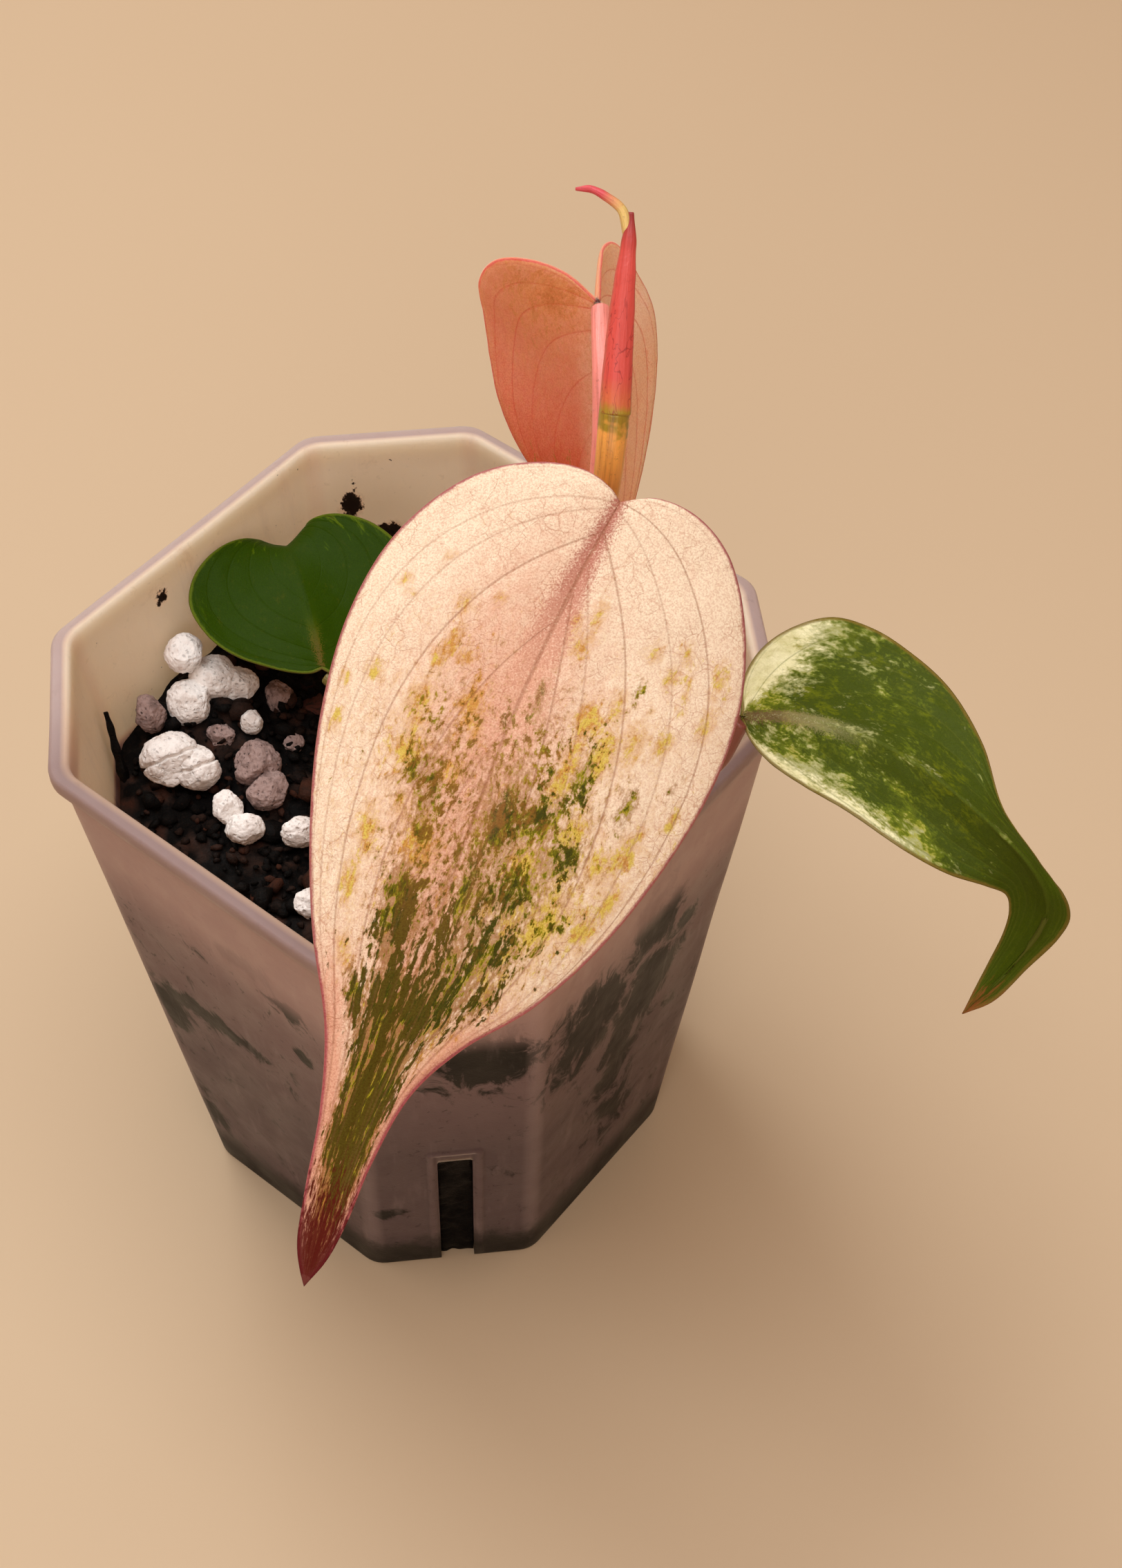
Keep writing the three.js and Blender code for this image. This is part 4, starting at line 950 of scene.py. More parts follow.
def pot_finish(look):
    """Frosted plastic: pale inside and at the lip, the pale inside partly painted light shining through the
    wall, mauve-brown where the mix shows through, dark patches of damp mix and specks behind it, partly
    painted shade on the right-front face, fine vertical drag lines, a painted highlight along the corners,
    painted shade on the front of the lip, and a painted contact shadow along the foot."""
    r = Recipe("frosted_plastic", look)
    _, y, z = r.parts(r.place)
    height = r.total(r.times(z, 1 / (POT_HEIGHT * MM)), r.around(r.noise(14, 3, 0.6), 0.1))
    r.colour = r.ramp(height, (0.0, "low"), (0.4, "low"), (0.7, "wall"), (0.84, "top"), (0.97, "top"),
                      (0.992, "rim"))
    # Pale inside above the mix: partly the plastic's own pale tone, partly painted light shining through the
    # wall.
    within = r.times(r.value("inside"), r.rise(z, SOIL_LEVEL * MM, (SOIL_LEVEL + 2) * MM))
    r.lay("inner", within)

    # Patches of damp mix, partly painted shade on the right-front face, specks and crumbs
    slant = r.add("ShaderNodeMapping", {0: r.place, 2: (0.35, 0.3, 0.5)}, vector_type="POINT").outputs[0]
    slant = r.scaled(slant, (1.0, 1.0, 0.45))
    torn = r.total(r.around(r.noise(3.2, 5, 0.72, 0.8, vector=slant), 2.6), r.around(r.noise(16, 2), 0.6))
    below = r.rise(z, (SOIL_LEVEL - 1) * MM, (SOIL_LEVEL + 4) * MM, 1.0, 0.15)
    wet = r.times(r.rise(r.total(r.value("wet"), torn), 0.22, 0.62), below)
    r.lay("wet", wet)
    specks = r.rise(r.noise(1.3, 3, 0.7, 0.3), 0.62, 0.7)
    r.lay("wet", specks, below, 0.6)
    crumbs = r.times(r.rise(r.noise(1.0, 3, 0.7, 0.3), 0.7, 0.74), r.rise(r.noise(9, 2), 0.5, 0.6), within)
    r.lay("foot", crumbs)

    # Drag lines, a painted highlight along the corners, painted shade on the front of the lip, stuck crumbs
    # and a painted contact shadow along the foot
    scuff = r.rise(r.noise(2.0, 3, 0.6, vector=r.scaled(r.place, (1.0, 1.0, 0.12))), 0.55, 0.8)
    r.lay("rim", scuff, 0.15)
    # Painted highlight along the rounded corners of the wall.
    r.lay("rim", r.value("corner"), 0.2)
    front = r.times(r.rise(y, 5 * MM, -12 * MM), r.rise(z, 75 * MM, 77 * MM), 0.6)
    r.lay("wall", front)
    stuck = r.rise(r.total(r.value("wet"), r.around(r.noise(0.8, 3, 0.7), 1.2)), 0.4, 0.55)
    r.lay("foot", stuck, within)
    # Painted contact shadow: near black up to about 4 mm above the foot, fading out by 10 mm.
    contact_shadow = r.fall(r.total(z, r.around(r.noise(3, 3, 0.7), 8 * MM)), 4 * MM, 10 * MM)
    r.lay("foot", contact_shadow)
    gloss = r.rise(r.noise(6, 3, 0.6), 0.3, 0.7, 0.34, 0.5)
    bumps = r.total(r.times(r.noise(0.35, 3, 0.6), 0.5), r.noise(3, 2))
    return r.finish(
        gloss, bumps, 0.06, IOR=1.45, Specular_IOR_Level=0.15, Transmission_Weight=0.2,
        Subsurface_Weight=r.fall(r.math("MAXIMUM", wet, contact_shadow), 0.0, 0.7, 0.8),
        Subsurface_Radius=(1.0, 0.9, 0.8), Subsurface_Scale=0.006,
    )


# Potting mix and grains

SOIL_LEVEL = 60
SOIL_FOOT = 1.7
SOIL_EDGE = 58.5
SOIL_GAP = 0.35
CRUMB_SEED = 5
CRUMB_SPREAD = 29.3
CRUMB_LIMIT = 32.5
GRAIN_SEED = 60
GRAIN_LEVEL = 6
HIDDEN_LEVEL = 5
BARK_SEED = 31

# How angular a kind of grain is, the depth of its hollows and how strongly the painted shade in its pores
# shows.
GRAIN_KINDS = {"perlite": (0.1, 0.14, 0.3), "pumice": (0.7, 0.3, 0.9)}

# Balls of each grain that shows in the photograph: centre and radii.
GRAINS = {
    "perlite_cluster": [(-25.8, 12, 65, 2.7, 2.8, 2.8), (-22.8, 14.6, 65.9, 2.9, 2.7, 2.6),
                        (-20.1, 14.2, 64.8, 2.4, 2.1, 2.3), (-25.8, 15.6, 69.3, 2.3, 2.3, 2.3)],
    "perlite_split": [(-28.1, 4.4, 64, 3.6, 3.4, 3.1), (-25.3, 3.2, 63.4, 2.7, 2.7, 2.6)],
    "pumice_block": [(-18.5, 3.6, 62.7, 2.8, 2.8, 2.6), (-17.4, 0.2, 62, 2.5, 2.5, 2.4)],
    "perlite_pair": [(-22.1, -2, 62.2, 1.8, 2.1, 1.8), (-20.2, -5, 61.9, 2.5, 1.9, 1.8)],
    "pumice_wall": [(-30.5, 10.4, 65, 2, 2, 2.6)],
    "pumice_low": [(-22.6, 8.3, 62.8, 1.8, 1.6, 1.6)],
    "perlite_bead": [(-18.8, 9.3, 63.6, 1.4, 1.5, 1.6)],
    "pumice_back": [(-15.5, 13.6, 62.9, 1.7, 2.2, 1.9)],
    "pumice_chip": [(-14.2, 7.3, 61.5, 1.3, 1.3, 1.2)],
    "perlite_front": [(-13.9, -6, 61.7, 2.4, 1.8, 1.9)],
    "perlite_edge": [(-13.2, -15.9, 61.4, 2, 1.8, 1.7)],
}
BARK_CHIP = [(-10.7, 12.6, 61.9, 2.8, 1.7, 1.1)]
TWIG = [(-33.4, 3.2, 56.5), (-33.8, 4.1, 61.5), (-34.4, 6.2, 65.5), (-35, 8, 68.8)]
SPLIT_PLANE = (-0.303, 0.758, 0.57)
TWIG_RADII = (0.6, 0.6, 0.45, 0.3)


def ball(level):
    """Points and triangles of a unit ball made from an icosahedron."""
    shape = bmesh.new()
    bmesh.ops.create_icosphere(shape, subdivisions=level, radius=1)
    points = np.array([v.co for v in shape.verts])
    faces = np.array([[v.index for v in f.verts] for f in shape.faces])
    shape.free()
    return unit(points), faces


def grain_body(lobes, level, seed, angular, pits, crack=None):
    """Rough grain of one ball or several grown together.

    A ball's radius swells by smooth noise and stops at the planes r (d . n) = h, which leave flat faces.
    Small hollows of depth pits are sunk where a finer noise is high. crack is a plane along which the
    grain is nicked.
    """
    draw = np.random.default_rng(seed)
    way, faces = ball(level)
    bodies = []
    for number, lobe in enumerate(lobes):
        radius = 1 + 0.08 * lumps(way, 0.9, seed + number) + 0.05 * lumps(way, 0.4, seed + number)
        for normal in unit(draw.normal(size=(9, 3))):
            height = draw.uniform(0.8, 1.0) - 0.12 * angular
            radius = np.minimum(radius, height / np.maximum(way @ normal, 0.05))
        points = np.array(lobe[:3]) + way * radius[:, None] * np.array(lobe[3:])
        fine = 0.07 * lumps(points, 0.55, seed) + 0.05 * lumps(points, 0.28, seed + 1)
        hollow = np.clip(lumps(points, 0.8, seed + 2) - 0.15, 0, 1)
        hollow += np.clip(lumps(points, 0.4, seed + 3) - 0.2, 0, 1)
        points = points + way * (fine - pits * hollow)[:, None]
        if crack is not None:
            off = (points - np.array(lobe[:3])) @ np.array(crack) + 0.25 * lumps(points, 1.2, seed + 4)
            points = points - way * (0.55 * bell(off, 0, 0.16))[:, None]
        bodies.append(triangle_body(points, faces, tone=np.full(len(points), draw.uniform())))
    return merged(bodies)


def soil_height(x, y):
    """Height of the mix: a level, a mound at the back left and two low waves."""
    mound = 5.5 * np.exp(-((x + 24) ** 2 + (y - 20) ** 2) / 242)
    waves = 0.7 * np.sin(0.4 * x + 1.2) * np.cos(0.36 * y - 0.4) + 0.4 * np.sin(0.5 * x - 0.4 * y)
    return SOIL_LEVEL + mound + waves


def soil_body():
    """Mix as one closed skin: across its foot, up beside the wall, and in over the rough top."""
    up = np.linspace(SOIL_FOOT, SOIL_EDGE, 14)
    inward = np.linspace(1, 0.012, 84)
    half = wall_half(np.concatenate([[SOIL_FOOT] * 2, up, np.full(len(inward), SOIL_EDGE)]))
    scale = np.concatenate([[0.3, 0.8], np.ones(len(up)), inward])
    flat = pot_outline(half, np.full(len(half), WALL + SOIL_GAP))[0] * scale[:, None, None]
    z = np.concatenate([[SOIL_FOOT] * 2, up, np.zeros(len(inward))])
    rings = np.concatenate([flat, np.broadcast_to(z[:, None, None], (*flat.shape[:2], 1))], -1)
    top = rings[2 + len(up):]
    rough = 0.55 * lumps(top, 2.8, 1) + 0.35 * lumps(top, 1.3, 2) + 0.18 * lumps(top, 0.6, 3)
    top[..., 2] = soil_height(top[..., 0], top[..., 1]) - 0.3 + rough
    return skin(rings, tone=0.5 + 0.5 * lumps(rings, 1.6, 7))


def slot_plugs():
    """Mix that stands in the four drain slots: a block behind each, its face pushed in and out by noise."""
    across = np.linspace(-1, 1, 13) * (SLOT_WIDTH / 2 - 0.05) + SLOT_SHIFT
    x, z = np.meshgrid(across, np.linspace(0.3, SLOT_TOP - 0.2, 60))
    face = cut_distance(z) - 1.0 + 0.25 * lumps(np.stack([x, z, 0 * x], -1), 0.9, 9)
    front = np.stack([x, -face, z], -1)
    behind = front[:, ::-1] * (1, 0, 1) - np.array([0, SLOT_INNER - 1, 0])
    ring = np.concatenate([front, behind], axis=1)
    return merged(skin(ring @ turn, tone=0.1 + 0.2 * lumps(ring, 0.8, 6)) for turn in QUARTER_TURNS)


def crumbs_body(count, size):
    """Crumbs strewn over the mix: small dented twenty-faced lumps, flattened and turned every way."""
    draw = np.random.default_rng(CRUMB_SEED)
    base, faces = ball(1)
    u, v = draw.uniform(-CRUMB_SPREAD, CRUMB_SPREAD, (2, count))
    x, y = (u - v) / math.sqrt(2), (u + v) / math.sqrt(2)
    keep = (np.abs(x) < CRUMB_LIMIT) & (np.abs(y) < CRUMB_LIMIT)
    x, y = x[keep], y[keep]
    count = len(x)
    radius = size * draw.lognormal(0, 0.45, (count, 1, 1))
    shape = base[None] * draw.uniform(0.7, 1.25, (count, 12, 1)) * draw.uniform(0.45, 1.2, (count, 1, 3))
    turn = np.linalg.qr(draw.normal(size=(count, 3, 3)))[0]
    points = np.einsum("nij,nkj->nki", turn, shape * radius) * (1, 1, 0.8)
    points += np.stack([x, y, soil_height(x, y) + 0.35 * radius[:, 0, 0] - 0.05], -1)[:, None]
    triangles = (faces[None] + 12 * np.arange(count)[:, None, None]).reshape(-1, 3)
    return triangle_body(points.reshape(-1, 3), triangles, tone=np.repeat(draw.uniform(0, 1, count), 12))


def mix_finish(look):
    """Damp mix: near black with brown and rusty crumbs."""
    r = Recipe("potting_mix", look)
    tone = r.total(r.value("tone"), r.around(r.noise(0.8, 3, 0.7), 0.5))
    r.colour = r.ramp(tone, (0.0, "black"), (0.55, "black"), (0.8, "brown"), (1.0, "rust"))
    fine = r.noise(0.35, 3, 0.7)
    r.lay("brown", r.rise(fine, 0.5, 0.75), 0.35)
    damp = r.rise(r.noise(3, 2), 0.35, 0.65, 0.55, 0.95)
    return r.finish(damp, fine, 0.2, Specular_IOR_Level=0.1)


def grain_finish(kind, look):
    """Mineral grain: chalky tone with stained patches, pores darkened as painted shade, dark dust and fine
    pitting.
    """
    r = Recipe(kind, look)
    strength = GRAIN_KINDS[kind][2]
    patch = r.noise(1.6, 4, 0.6, 0.5)
    r.colour = r.mix(r.times(r.rise(patch, 0.45, 0.68), 0.75), kind, f"{kind}_stain")
    # Painted shade in the pores.
    pores = r.fall(r.cells(0.62, r.moved(r.place, 0.5, 0.6), "F1"), 0.12, 0.34)
    some = r.rise(r.noise(1.1, 2), 0.42, 0.6)
    r.lay("pore", pores, some, strength)
    dust = r.rise(r.noise(0.5, 3, 0.7), 0.58, 0.72)
    r.lay("pore", dust, 0.55 * strength + 0.1)
    height = r.total(r.times(pores, -0.8), r.noise(0.3, 3, 0.65))
    return r.finish(0.9, height, 0.12, Specular_IOR_Level=0.25)


def bark_finish(look):
    """Bark: rust brown in thin layers with darker cracks."""
    r = Recipe("bark", look)
    layers = r.noise(0.5, 4, 0.7, 0.6, vector=r.scaled(r.place, (0.35, 1.0, 2.2)))
    r.colour = r.ramp(layers, (0.35, "black"), (0.5, "bark"), (0.7, "rust"))
    return r.finish(0.85, layers, 0.25)


# Settings


def colour_setting(name, description, tone):
    return bpy.props.FloatVectorProperty(
        name=name, description=description, default=paint(*tone), size=3, min=0, max=1, subtype="COLOR"
    )


def length_setting(name, description, millimetres):
    return bpy.props.FloatProperty(
        name=name, description=description, default=millimetres * MM, min=0, unit="LENGTH", precision=5
    )


def share_setting(name, description, share, highest=1.0):
    return bpy.props.FloatProperty(
        name=name, description=description, default=share, min=0, max=highest, subtype="FACTOR"
    )


# Tones of the front, back, right and small leaf.
LEAF_TONES = {
    "base": ("Lightest upper tone", (245, 228, 202), (255, 198, 172), (250, 246, 210), (80, 100, 8)),
    "blush": ("Second upper tone", (226, 174, 148), (212, 116, 88), (226, 226, 160), (66, 88, 4)),
    "net": ("Net of the finest veins", (190, 128, 98), (214, 110, 80), (190, 190, 120), (50, 74, 4)),
    "yellow": ("Yellow patches", (214, 192, 78), (250, 170, 140), (190, 184, 84), (84, 102, 10)),
    "ochre": ("Ochre parts of the patches", (202, 148, 66), (236, 146, 120), (176, 166, 76), (76, 92, 8)),
    "lime": ("Palest green", (164, 154, 36), (222, 158, 110), (160, 160, 50), (78, 98, 6)),
    "green": ("Middle green", (106, 106, 4), (206, 146, 96), (100, 116, 8), (56, 80, 2)),
    "dark": ("Darkest green", (54, 62, 0), (176, 122, 66), (58, 74, 0), (38, 62, 0)),
    "bronze": ("Green over pink", (150, 104, 42), (216, 156, 108), (104, 116, 14), (60, 70, 6)),
    "rib": ("Band along the midrib", (178, 104, 92), (246, 140, 124), (112, 78, 64), (108, 86, 34)),
    "vein": ("Drawn veins", (160, 108, 78), (206, 100, 78), (104, 112, 40), (34, 54, 2)),
    "rim": ("Line along the margin", (162, 70, 84), (214, 84, 92), (124, 102, 44), (92, 108, 24)),
    "tip": ("Pointed end", (86, 18, 18), (196, 76, 60), (140, 84, 44), (40, 54, 6)),
    "under": ("Lower face", (226, 172, 150), (250, 160, 124), (86, 88, 34), (104, 84, 46)),
}
LEAF_THICKNESS = 0.5

# Each leaf's outline, fields, quilting, start of its tip's tone, edging and the rest of its finish.
LEAVES = {
    "front": (FRONT_LEAF, front_fields, 0.05, 0.91, 1.0, {"soft": 0.15, "net": 1.3, "speckle": 1.3}),
    "back": (BACK_LEAF, back_fields, 0.05, 1.1, 0.0, {"rib_width": 0.5, "mottle": 0.4, "glow": 0.9}),
    "right": (RIGHT_LEAF, right_fields, 0.08, 0.965, 0.0, {
        "rib_width": 0.9, "rib_reach": 0.3, "velvet": 0.0, "mottle": 0.85, "coarse": 2.6, "soft": 0.42,
        "strands": 0.3,
    }),
    "small": (SMALL_LEAF, small_fields, 0.04, 1.1, 0.0, {
        "rib_width": 0.5, "velvet": 0.0, "gloss": 0.42, "net": 0.4, "speckle": 0.6, "mottle": 0.5,
    }),
}


def leaf_settings(number, name):
    """Property group for one leaf: its thickness, quilting, tip, edging and tones."""
    quilt, tip_from, edging = LEAVES[name][2:5]
    settings = {key: colour_setting(key.capitalize(), text, tones[number])
                for key, (text, *tones) in LEAF_TONES.items()}
    settings["thickness"] = length_setting("Thickness", "Thickness of the blade's middle", LEAF_THICKNESS)
    settings["quilt"] = length_setting("Quilting", "How deep the veins lie in the upper face", quilt)
    settings["tip_from"] = share_setting("Tip from", "Share of the length where it starts", tip_from, 1.2)
    settings["edging"] = share_setting("Edging", "How strongly the second tone edges the narrow end", edging)
    return type(f"{name.capitalize()}LeafSettings", (bpy.types.PropertyGroup,), {"__annotations__": settings})


class PotSettings(bpy.types.PropertyGroup):
    """Tones of the frosted pot."""

    rim: colour_setting("Lip", "Lip and scuffs", (184, 165, 163))
    # Inner wall: pale plastic, brightened as painted light shining through the wall.
    inner: colour_setting("Inner wall", "Inside of the wall above the potting mix", (255, 224, 196))
    top: colour_setting("Upper wall", "Outside of the wall above the potting mix", (164, 139, 136))
    wall: colour_setting("Wall", "Wall where the mix shows through", (123, 101, 101))
    low: colour_setting("Lower wall", "Wall close to the foot", (92, 76, 78))
    # Foot: a painted contact shadow along the foot, and the crumbs stuck inside the wall.
    foot: colour_setting("Foot", "Shadow along the foot", (20, 15, 13))
    # Damp mix against the wall, and painted shade on the right-front face.
    wet: colour_setting("Wet", "Wet mix against the wall", (14, 11, 10))


class MixSettings(bpy.types.PropertyGroup):
    """Tones and crumb size of the potting mix and its grains."""

    black: colour_setting("Dark", "Darkest crumbs", (8, 6, 5))
    brown: colour_setting("Brown", "Middle crumbs", (44, 30, 24))
    rust: colour_setting("Rust", "Lightest crumbs", (64, 36, 25))
    bark: colour_setting("Bark", "Bark chip", (84, 38, 26))
    perlite: colour_setting("Perlite", "White grains", (252, 248, 244))
    perlite_stain: colour_setting("Perlite stain", "Stained parts of the white grains", (216, 204, 196))
    pumice: colour_setting("Pumice", "Grey grains", (164, 140, 134))
    pumice_stain: colour_setting("Pumice stain", "Stained parts of the grey grains", (104, 84, 78))
    # Pores: painted shade in the pores, and the dark dust on the grains.
    pore: colour_setting("Pores", "Pores and dust on the grains", (52, 40, 36))
    crumb: length_setting("Crumb size", "Radius of a common crumb", 0.55)
    crumb_count: bpy.props.IntProperty(
        name="Crumbs", description="Crumbs strewn on the mix", default=2200, min=0
    )


class VineSettings(bpy.types.PropertyGroup):
    """Tones of the stem, the sheath, the new leaf and the stalks."""

    stem: colour_setting("Stem", "Stem between two leaves", (250, 176, 84))
    joint: colour_setting("Joint", "Stem at a leaf", (170, 140, 40))
    sheath: colour_setting("Sheath", "Sheath round the new leaf", (218, 84, 76))
    sheath_foot: colour_setting("Foot of the sheath", "Sheath next to the stem", (214, 112, 70))
    sheath_dark: colour_setting("Sheath streaks", "Streaks along the sheath", (150, 40, 40))
    new_leaf: colour_setting("New leaf", "Rolled new leaf", (240, 206, 128))
    new_tip: colour_setting("New leaf's tip", "End of the rolled leaf", (222, 78, 88))
    pink: colour_setting("Pink stalk", "Stalk of the back leaf", (252, 150, 140))
    brown: colour_setting("Brown stalk", "Stalks of the front and right leaves", (128, 66, 52))
    green: colour_setting("Green stalk", "Stalk of the small leaf", (112, 104, 44))
    streak: colour_setting("Streaks", "Fine dark streaks on stem and stalks", (96, 50, 26))


class StageSettings(bpy.types.PropertyGroup):
    """Floor and light."""

    floor: colour_setting("Floor", "Plain floor", (204, 182, 152))
    floor_shade: colour_setting("Floor's second tone", "Faint clouds on the floor", (192, 167, 135))
    light: bpy.props.FloatProperty(
        name="Light", description="Power of the main light in watts", default=3.05, min=0
    )
    sky: bpy.props.FloatProperty(name="Sky", description="Strength of the even light", default=0.37, min=0)


SETTINGS = {f"{name}_leaf": leaf_settings(number, name) for number, name in enumerate(LEAVES)}
SETTINGS |= {"pot": PotSettings, "mix": MixSettings, "vine": VineSettings, "stage": StageSettings}


class PlantSettings(bpy.types.PropertyGroup):
    """Everything a user would change."""

    __annotations__ = {key: bpy.props.PointerProperty(type=group) for key, group in SETTINGS.items()}


def look_of(group):
    """Settings of a group as plain values."""
    names = type(group).__annotations__
    return {n: v if isinstance(v := getattr(group, n), (int, float)) else tuple(v) for n in names}


# Operators


class PLANT_OT_pot(bpy.types.Operator):
    """Add the square nursery pot with its lip and drain slots"""

    bl_idname = "plant.add_pot"
    bl_label = "Pot"

    def execute(self, context):
        finish = pot_finish(look_of(context.scene.plant.pot))
        cut_slots(place("nursery_pot", pot_body(), finish, ["pot"], "pot"))
        return {"FINISHED"}


class PLANT_OT_mix(bpy.types.Operator):
    """Add the potting mix with its crumbs, the bark chip and the twig"""

    bl_idname = "plant.add_mix"
    bl_label = "Potting mix"

    def execute(self, context):
        look = look_of(context.scene.plant.mix)
        crumbs = crumbs_body(look["crumb_count"], look["crumb"] / MM)
        finish = mix_finish(look)
        place("mix", merged([soil_body(), slot_plugs(), crumbs]), finish, ["soil"], "soil")
        chip = grain_body(BARK_CHIP, HIDDEN_LEVEL, BARK_SEED, 0.6, 0.05)
        place("bark_piece", chip, bark_finish(look), ["bark_chip"], "bark")
        bend = lambda s, a: 1 + 0.2 * np.cos(3 * a + 9 * s) + 0.15 * np.sin(31 * s)
        twig = tube_body(TWIG, TWIG_RADII, 60, 16, bend)
        twig["values"]["tone"] = 0.3 + 0.3 * lumps(twig["points"], 0.7, 8)
        place("dark_twig", twig, finish, ["twig"], "soil")
        return {"FINISHED"}


class PLANT_OT_grains(bpy.types.Operator):
    """Add the perlite and pumice grains"""

    bl_idname = "plant.add_grains"
    bl_label = "Grains"

    def execute(self, context):
        look = look_of(context.scene.plant.mix)
        finishes = {kind: grain_finish(kind, look) for kind in GRAIN_KINDS}
        names = sorted(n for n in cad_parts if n.startswith(tuple(GRAIN_KINDS)))
        for number, name in enumerate(names):
            low, high = (np.array(corner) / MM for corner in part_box(name))
            lobes = GRAINS.get(name, [(*(low + high) / 2, *(high - low) / 2)])
            kind = name.split("_")[0]
            angular, pits, _ = GRAIN_KINDS[kind]
            crack = SPLIT_PLANE if name == "perlite_split" else None
            level = GRAIN_LEVEL if name in GRAINS else HIDDEN_LEVEL
            body = grain_body(lobes, level, GRAIN_SEED + number, angular, pits, crack)
            place(f"{name}_grain", body, finishes[kind], [name], kind)
        return {"FINISHED"}


class PLANT_OT_vine(bpy.types.Operator):
    """Add the stem, the red sheath, the rolled new leaf and the four stalks"""

    bl_idname = "plant.add_vine"
    bl_label = "Vine"

    def execute(self, context):
        look = look_of(context.scene.plant.vine)
        stops = (
            (0.0, "joint"), (0.3, "stem"), (0.62, "stem"), (0.7, "joint"), (0.76, "stem"), (0.978, "stem"),
            (0.988, "joint"),
        )
        finish = stem_finish("stem_skin", look, stops, 0.35)
        place("vine_stem", tube_body(STEM, STEM_RADII, 240, 40), finish, ["stem"], "stem")
        stops = (
            (0.0, "joint"), (0.03, "joint"), (0.07, "sheath_foot"), (0.2, "sheath"), (0.8, "sheath"),
            (1.0, "sheath_dark"),
        )
        finish = stem_finish("sheath_skin", look, stops, 0.25, "sheath_dark", 0.1, 0.7)
        keel = lambda s, a: 1 + 0.14 * np.clip(np.cos(a - 2.2), 0, 1) ** 10 + 0.012 * np.cos(9 * a)
        place("red_sheath", tube_body(SHEATH, SHEATH_RADII, 120, 48, keel), finish, ["sheath"], "sheath")
        stops = (0.0, "new_leaf"), (0.35, "new_leaf"), (0.65, "new_tip")
        finish = stem_finish("new_leaf_skin", look, stops, 0.2)
        roll = lambda s, a: 1 + 0.12 * np.cos(a + 6 * s) + 0.06 * np.cos(2 * a)
        body = tube_body(NEW_LEAF, NEW_LEAF_RADII, 80, 28, roll)
        place("rolled_leaf", body, finish, ["new_leaf"], "new_leaf")
        groove = lambda s, a: 1 - 0.12 * np.clip(np.cos(a - 1.4), 0, 1) ** 8
        for name, (tone, path, radii) in STALKS.items():
            finish = stem_finish(f"{name}_stalk_skin", look, ((0.0, tone), (1.0, tone)), 0.3)
            body = tube_body(path, radii, 120, 28, groove)
            place(f"{name}_leaf_stalk", body, finish, [f"stalk_{name}"], f"{tone}_stalk")
        return {"FINISHED"}


class PLANT_OT_leaves(bpy.types.Operator):
    """Add the four leaves"""

    bl_idname = "plant.add_leaves"
    bl_label = "Leaves"

    def execute(self, context):
        for name, (leaf, fields, *_, settings) in LEAVES.items():
            look = look_of(getattr(context.scene.plant, f"{name}_leaf"))
            body = blade_body(leaf, look["thickness"] / MM, look["quilt"] / MM, fields)
            finish = leaf_finish(f"{name}_skin", look, **settings)
            place(f"{name}_blade", body, finish, [f"leaf_{name}"], f"leaf_{name}")
        return {"FINISHED"}


CAMERA_RIGHT = (0.9933563, -0.11432351, 0.01316781)
CAMERA_UP = (0.08105085, 0.77625899, 0.62518217)
CAMERA_BACK = (-0.08169465, -0.61996138, 0.78036778)
CAMERA_PLACE = (-5.76878, -168.71044, 271.33382)
CAMERA_LENS = 53.443
CAMERA_SENSOR = 36
FLOOR_HALF = 5
SKY_TONE = (1.0, 0.55, 0.27, 1)
LIT_POINT = (0, 0, 60)

# Each light's place and size in millimetres, its share of the main light's power and its tone.
LIGHTS = {
    "main_light": ((-40, -40, 720), 520, 1, (0.94, 1.0, 1.04)),
    "back_light": ((-230, 400, 580), 320, 0.6, (0.98, 0.98, 0.97)),
    "front_light": ((-120, -560, 330), 420, 0.36, (1.0, 0.97, 0.96)),
}


def stand(name, data, axes, place_mm):
    """Adds a camera or a lamp with its right, up and back sides along three axes."""
    thing = bpy.data.objects.new(name, data)
    bpy.context.scene.collection.objects.link(thing)
    turn = Matrix(np.stack(axes, 1).tolist()).to_4x4()
    turn.translation = [value * MM for value in place_mm]
    thing.matrix_world = turn
    return thing


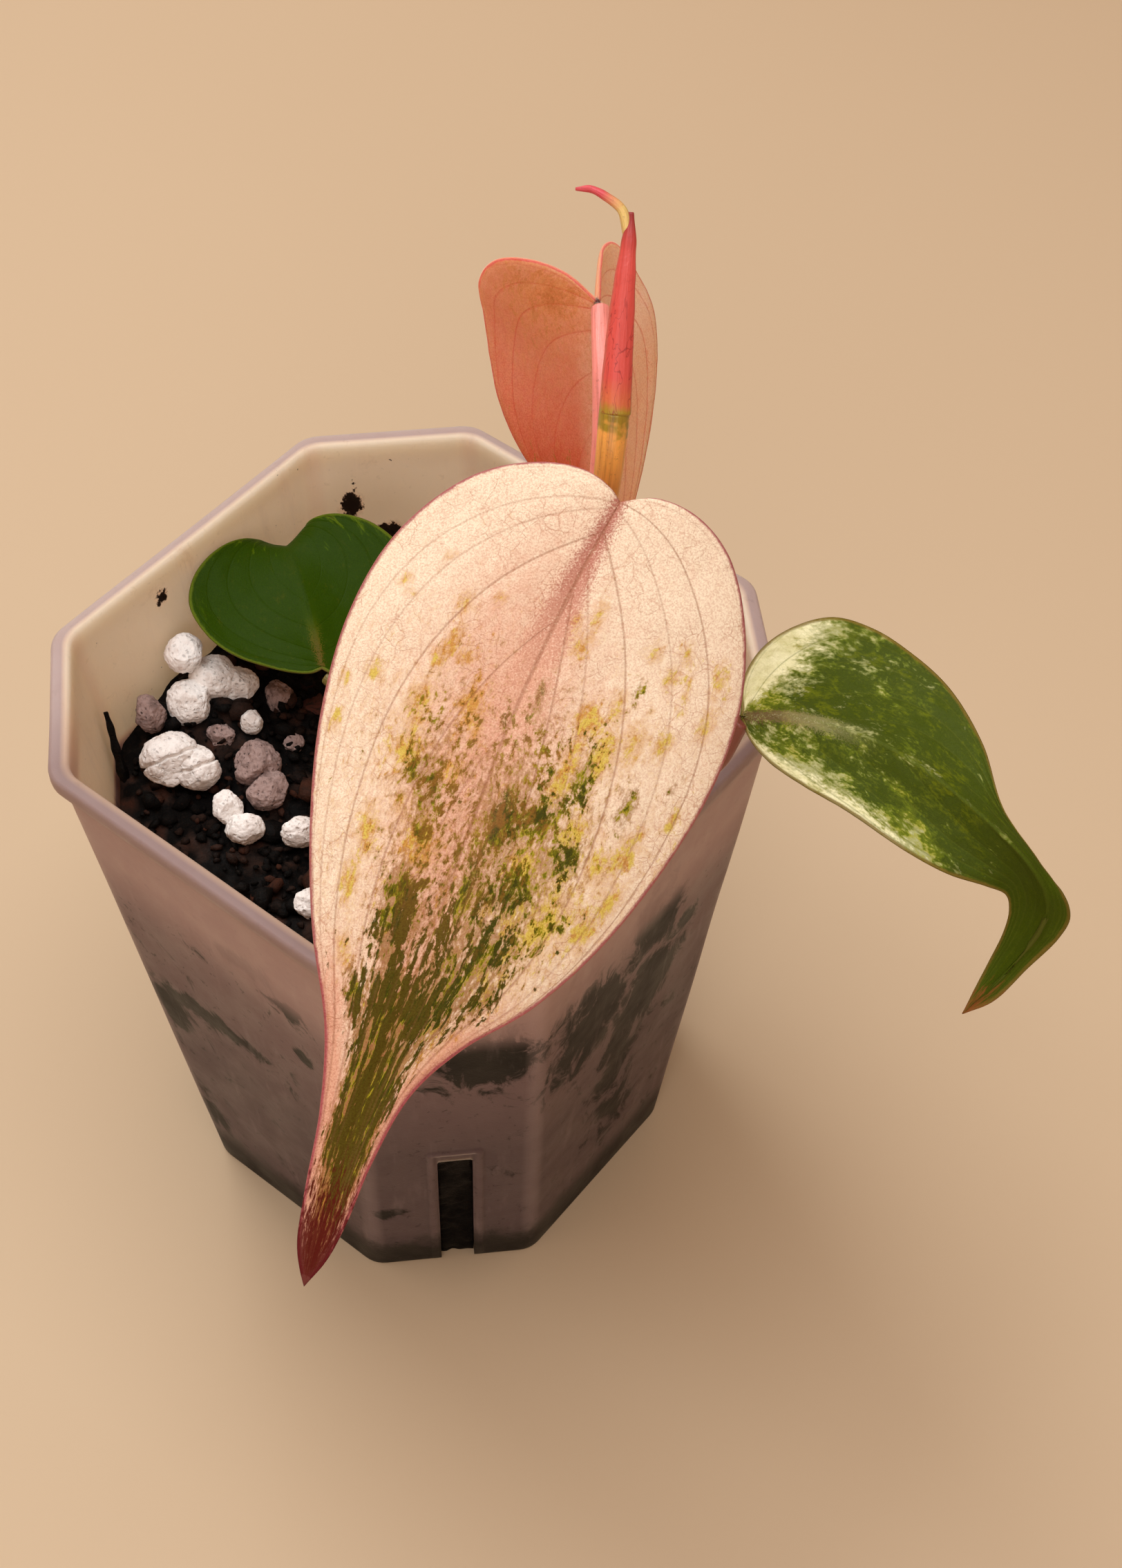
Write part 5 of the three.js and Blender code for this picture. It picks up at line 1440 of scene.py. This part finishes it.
class PLANT_OT_stage(bpy.types.Operator):
    """Add the camera, the plain floor and the soft light"""

    bl_idname = "plant.add_stage"
    bl_label = "Stage"

    def execute(self, context):
        scene, look = context.scene, look_of(context.scene.plant.stage)
        camera = bpy.data.cameras.new("camera")
        camera.lens, camera.sensor_width, camera.clip_start = CAMERA_LENS, CAMERA_SENSOR, 0.01
        scene.camera = stand("camera", camera, (CAMERA_RIGHT, CAMERA_UP, CAMERA_BACK), CAMERA_PLACE)
        scene.view_settings.view_transform = "Standard"
        r = Recipe("floor_paint", look)
        r.colour = r.mix(r.times(r.rise(r.noise(120, 2), 0.3, 0.7), 0.06), "floor", "floor_shade")
        r.finish(0.75, r.noise(1.2, 2), 0.01)
        mesh = bpy.data.meshes.new("floor")
        corners = [(x * FLOOR_HALF, y * FLOOR_HALF, 0) for x, y in ((-1, -1), (1, -1), (1, 1), (-1, 1))]
        mesh.from_pydata(corners, [], [(0, 1, 2, 3)])
        mesh.materials.append(r.material)
        floor = bpy.data.objects.new("floor", mesh)
        scene.collection.objects.link(floor)
        scene.world = bpy.data.worlds.new("even_light")
        scene.world.use_nodes = True
        sky = scene.world.node_tree.nodes["Background"]
        sky.inputs["Color"].default_value = SKY_TONE
        sky.inputs["Strength"].default_value = look["sky"]
        for name, (place_mm, size, share, tone) in LIGHTS.items():
            light = bpy.data.lights.new(name, "AREA")
            light.energy, light.size, light.color = look["light"] * share, size * MM, tone
            back = unit(np.subtract(place_mm, LIT_POINT))
            right = unit(np.cross((0, 0, 1), back))
            stand(name, light, (right, np.cross(back, right), back), place_mm)
        return {"FINISHED"}


class PLANT_PT_panel(bpy.types.Panel):
    """Lists the pieces and their settings"""

    bl_idname = "PLANT_PT_panel"
    bl_label = "Potted philodendron"
    bl_space_type = "VIEW_3D"
    bl_region_type = "UI"
    bl_category = "Philodendron"

    def draw(self, context):
        for operator in OPERATORS:
            self.layout.operator(operator.bl_idname)
        for key in SETTINGS:
            box = self.layout.box()
            box.label(text=key.replace("_", " ").capitalize())
            group = getattr(context.scene.plant, key)
            for name in type(group).__annotations__:
                box.prop(group, name)


OPERATORS = (PLANT_OT_stage, PLANT_OT_pot, PLANT_OT_mix, PLANT_OT_grains, PLANT_OT_vine, PLANT_OT_leaves)
CLASSES = (*SETTINGS.values(), PlantSettings, *OPERATORS, PLANT_PT_panel)


def register():
    for cls in CLASSES:
        bpy.utils.register_class(cls)
    bpy.types.Scene.plant = bpy.props.PointerProperty(type=PlantSettings)


def unregister():
    del bpy.types.Scene.plant
    for cls in reversed(CLASSES):
        bpy.utils.unregister_class(cls)


def main():
    register()
    bpy.ops.plant.add_stage()
    bpy.ops.plant.add_pot()
    bpy.ops.plant.add_mix()
    bpy.ops.plant.add_grains()
    bpy.ops.plant.add_vine()
    bpy.ops.plant.add_leaves()


if __name__ == "__main__":
    main()
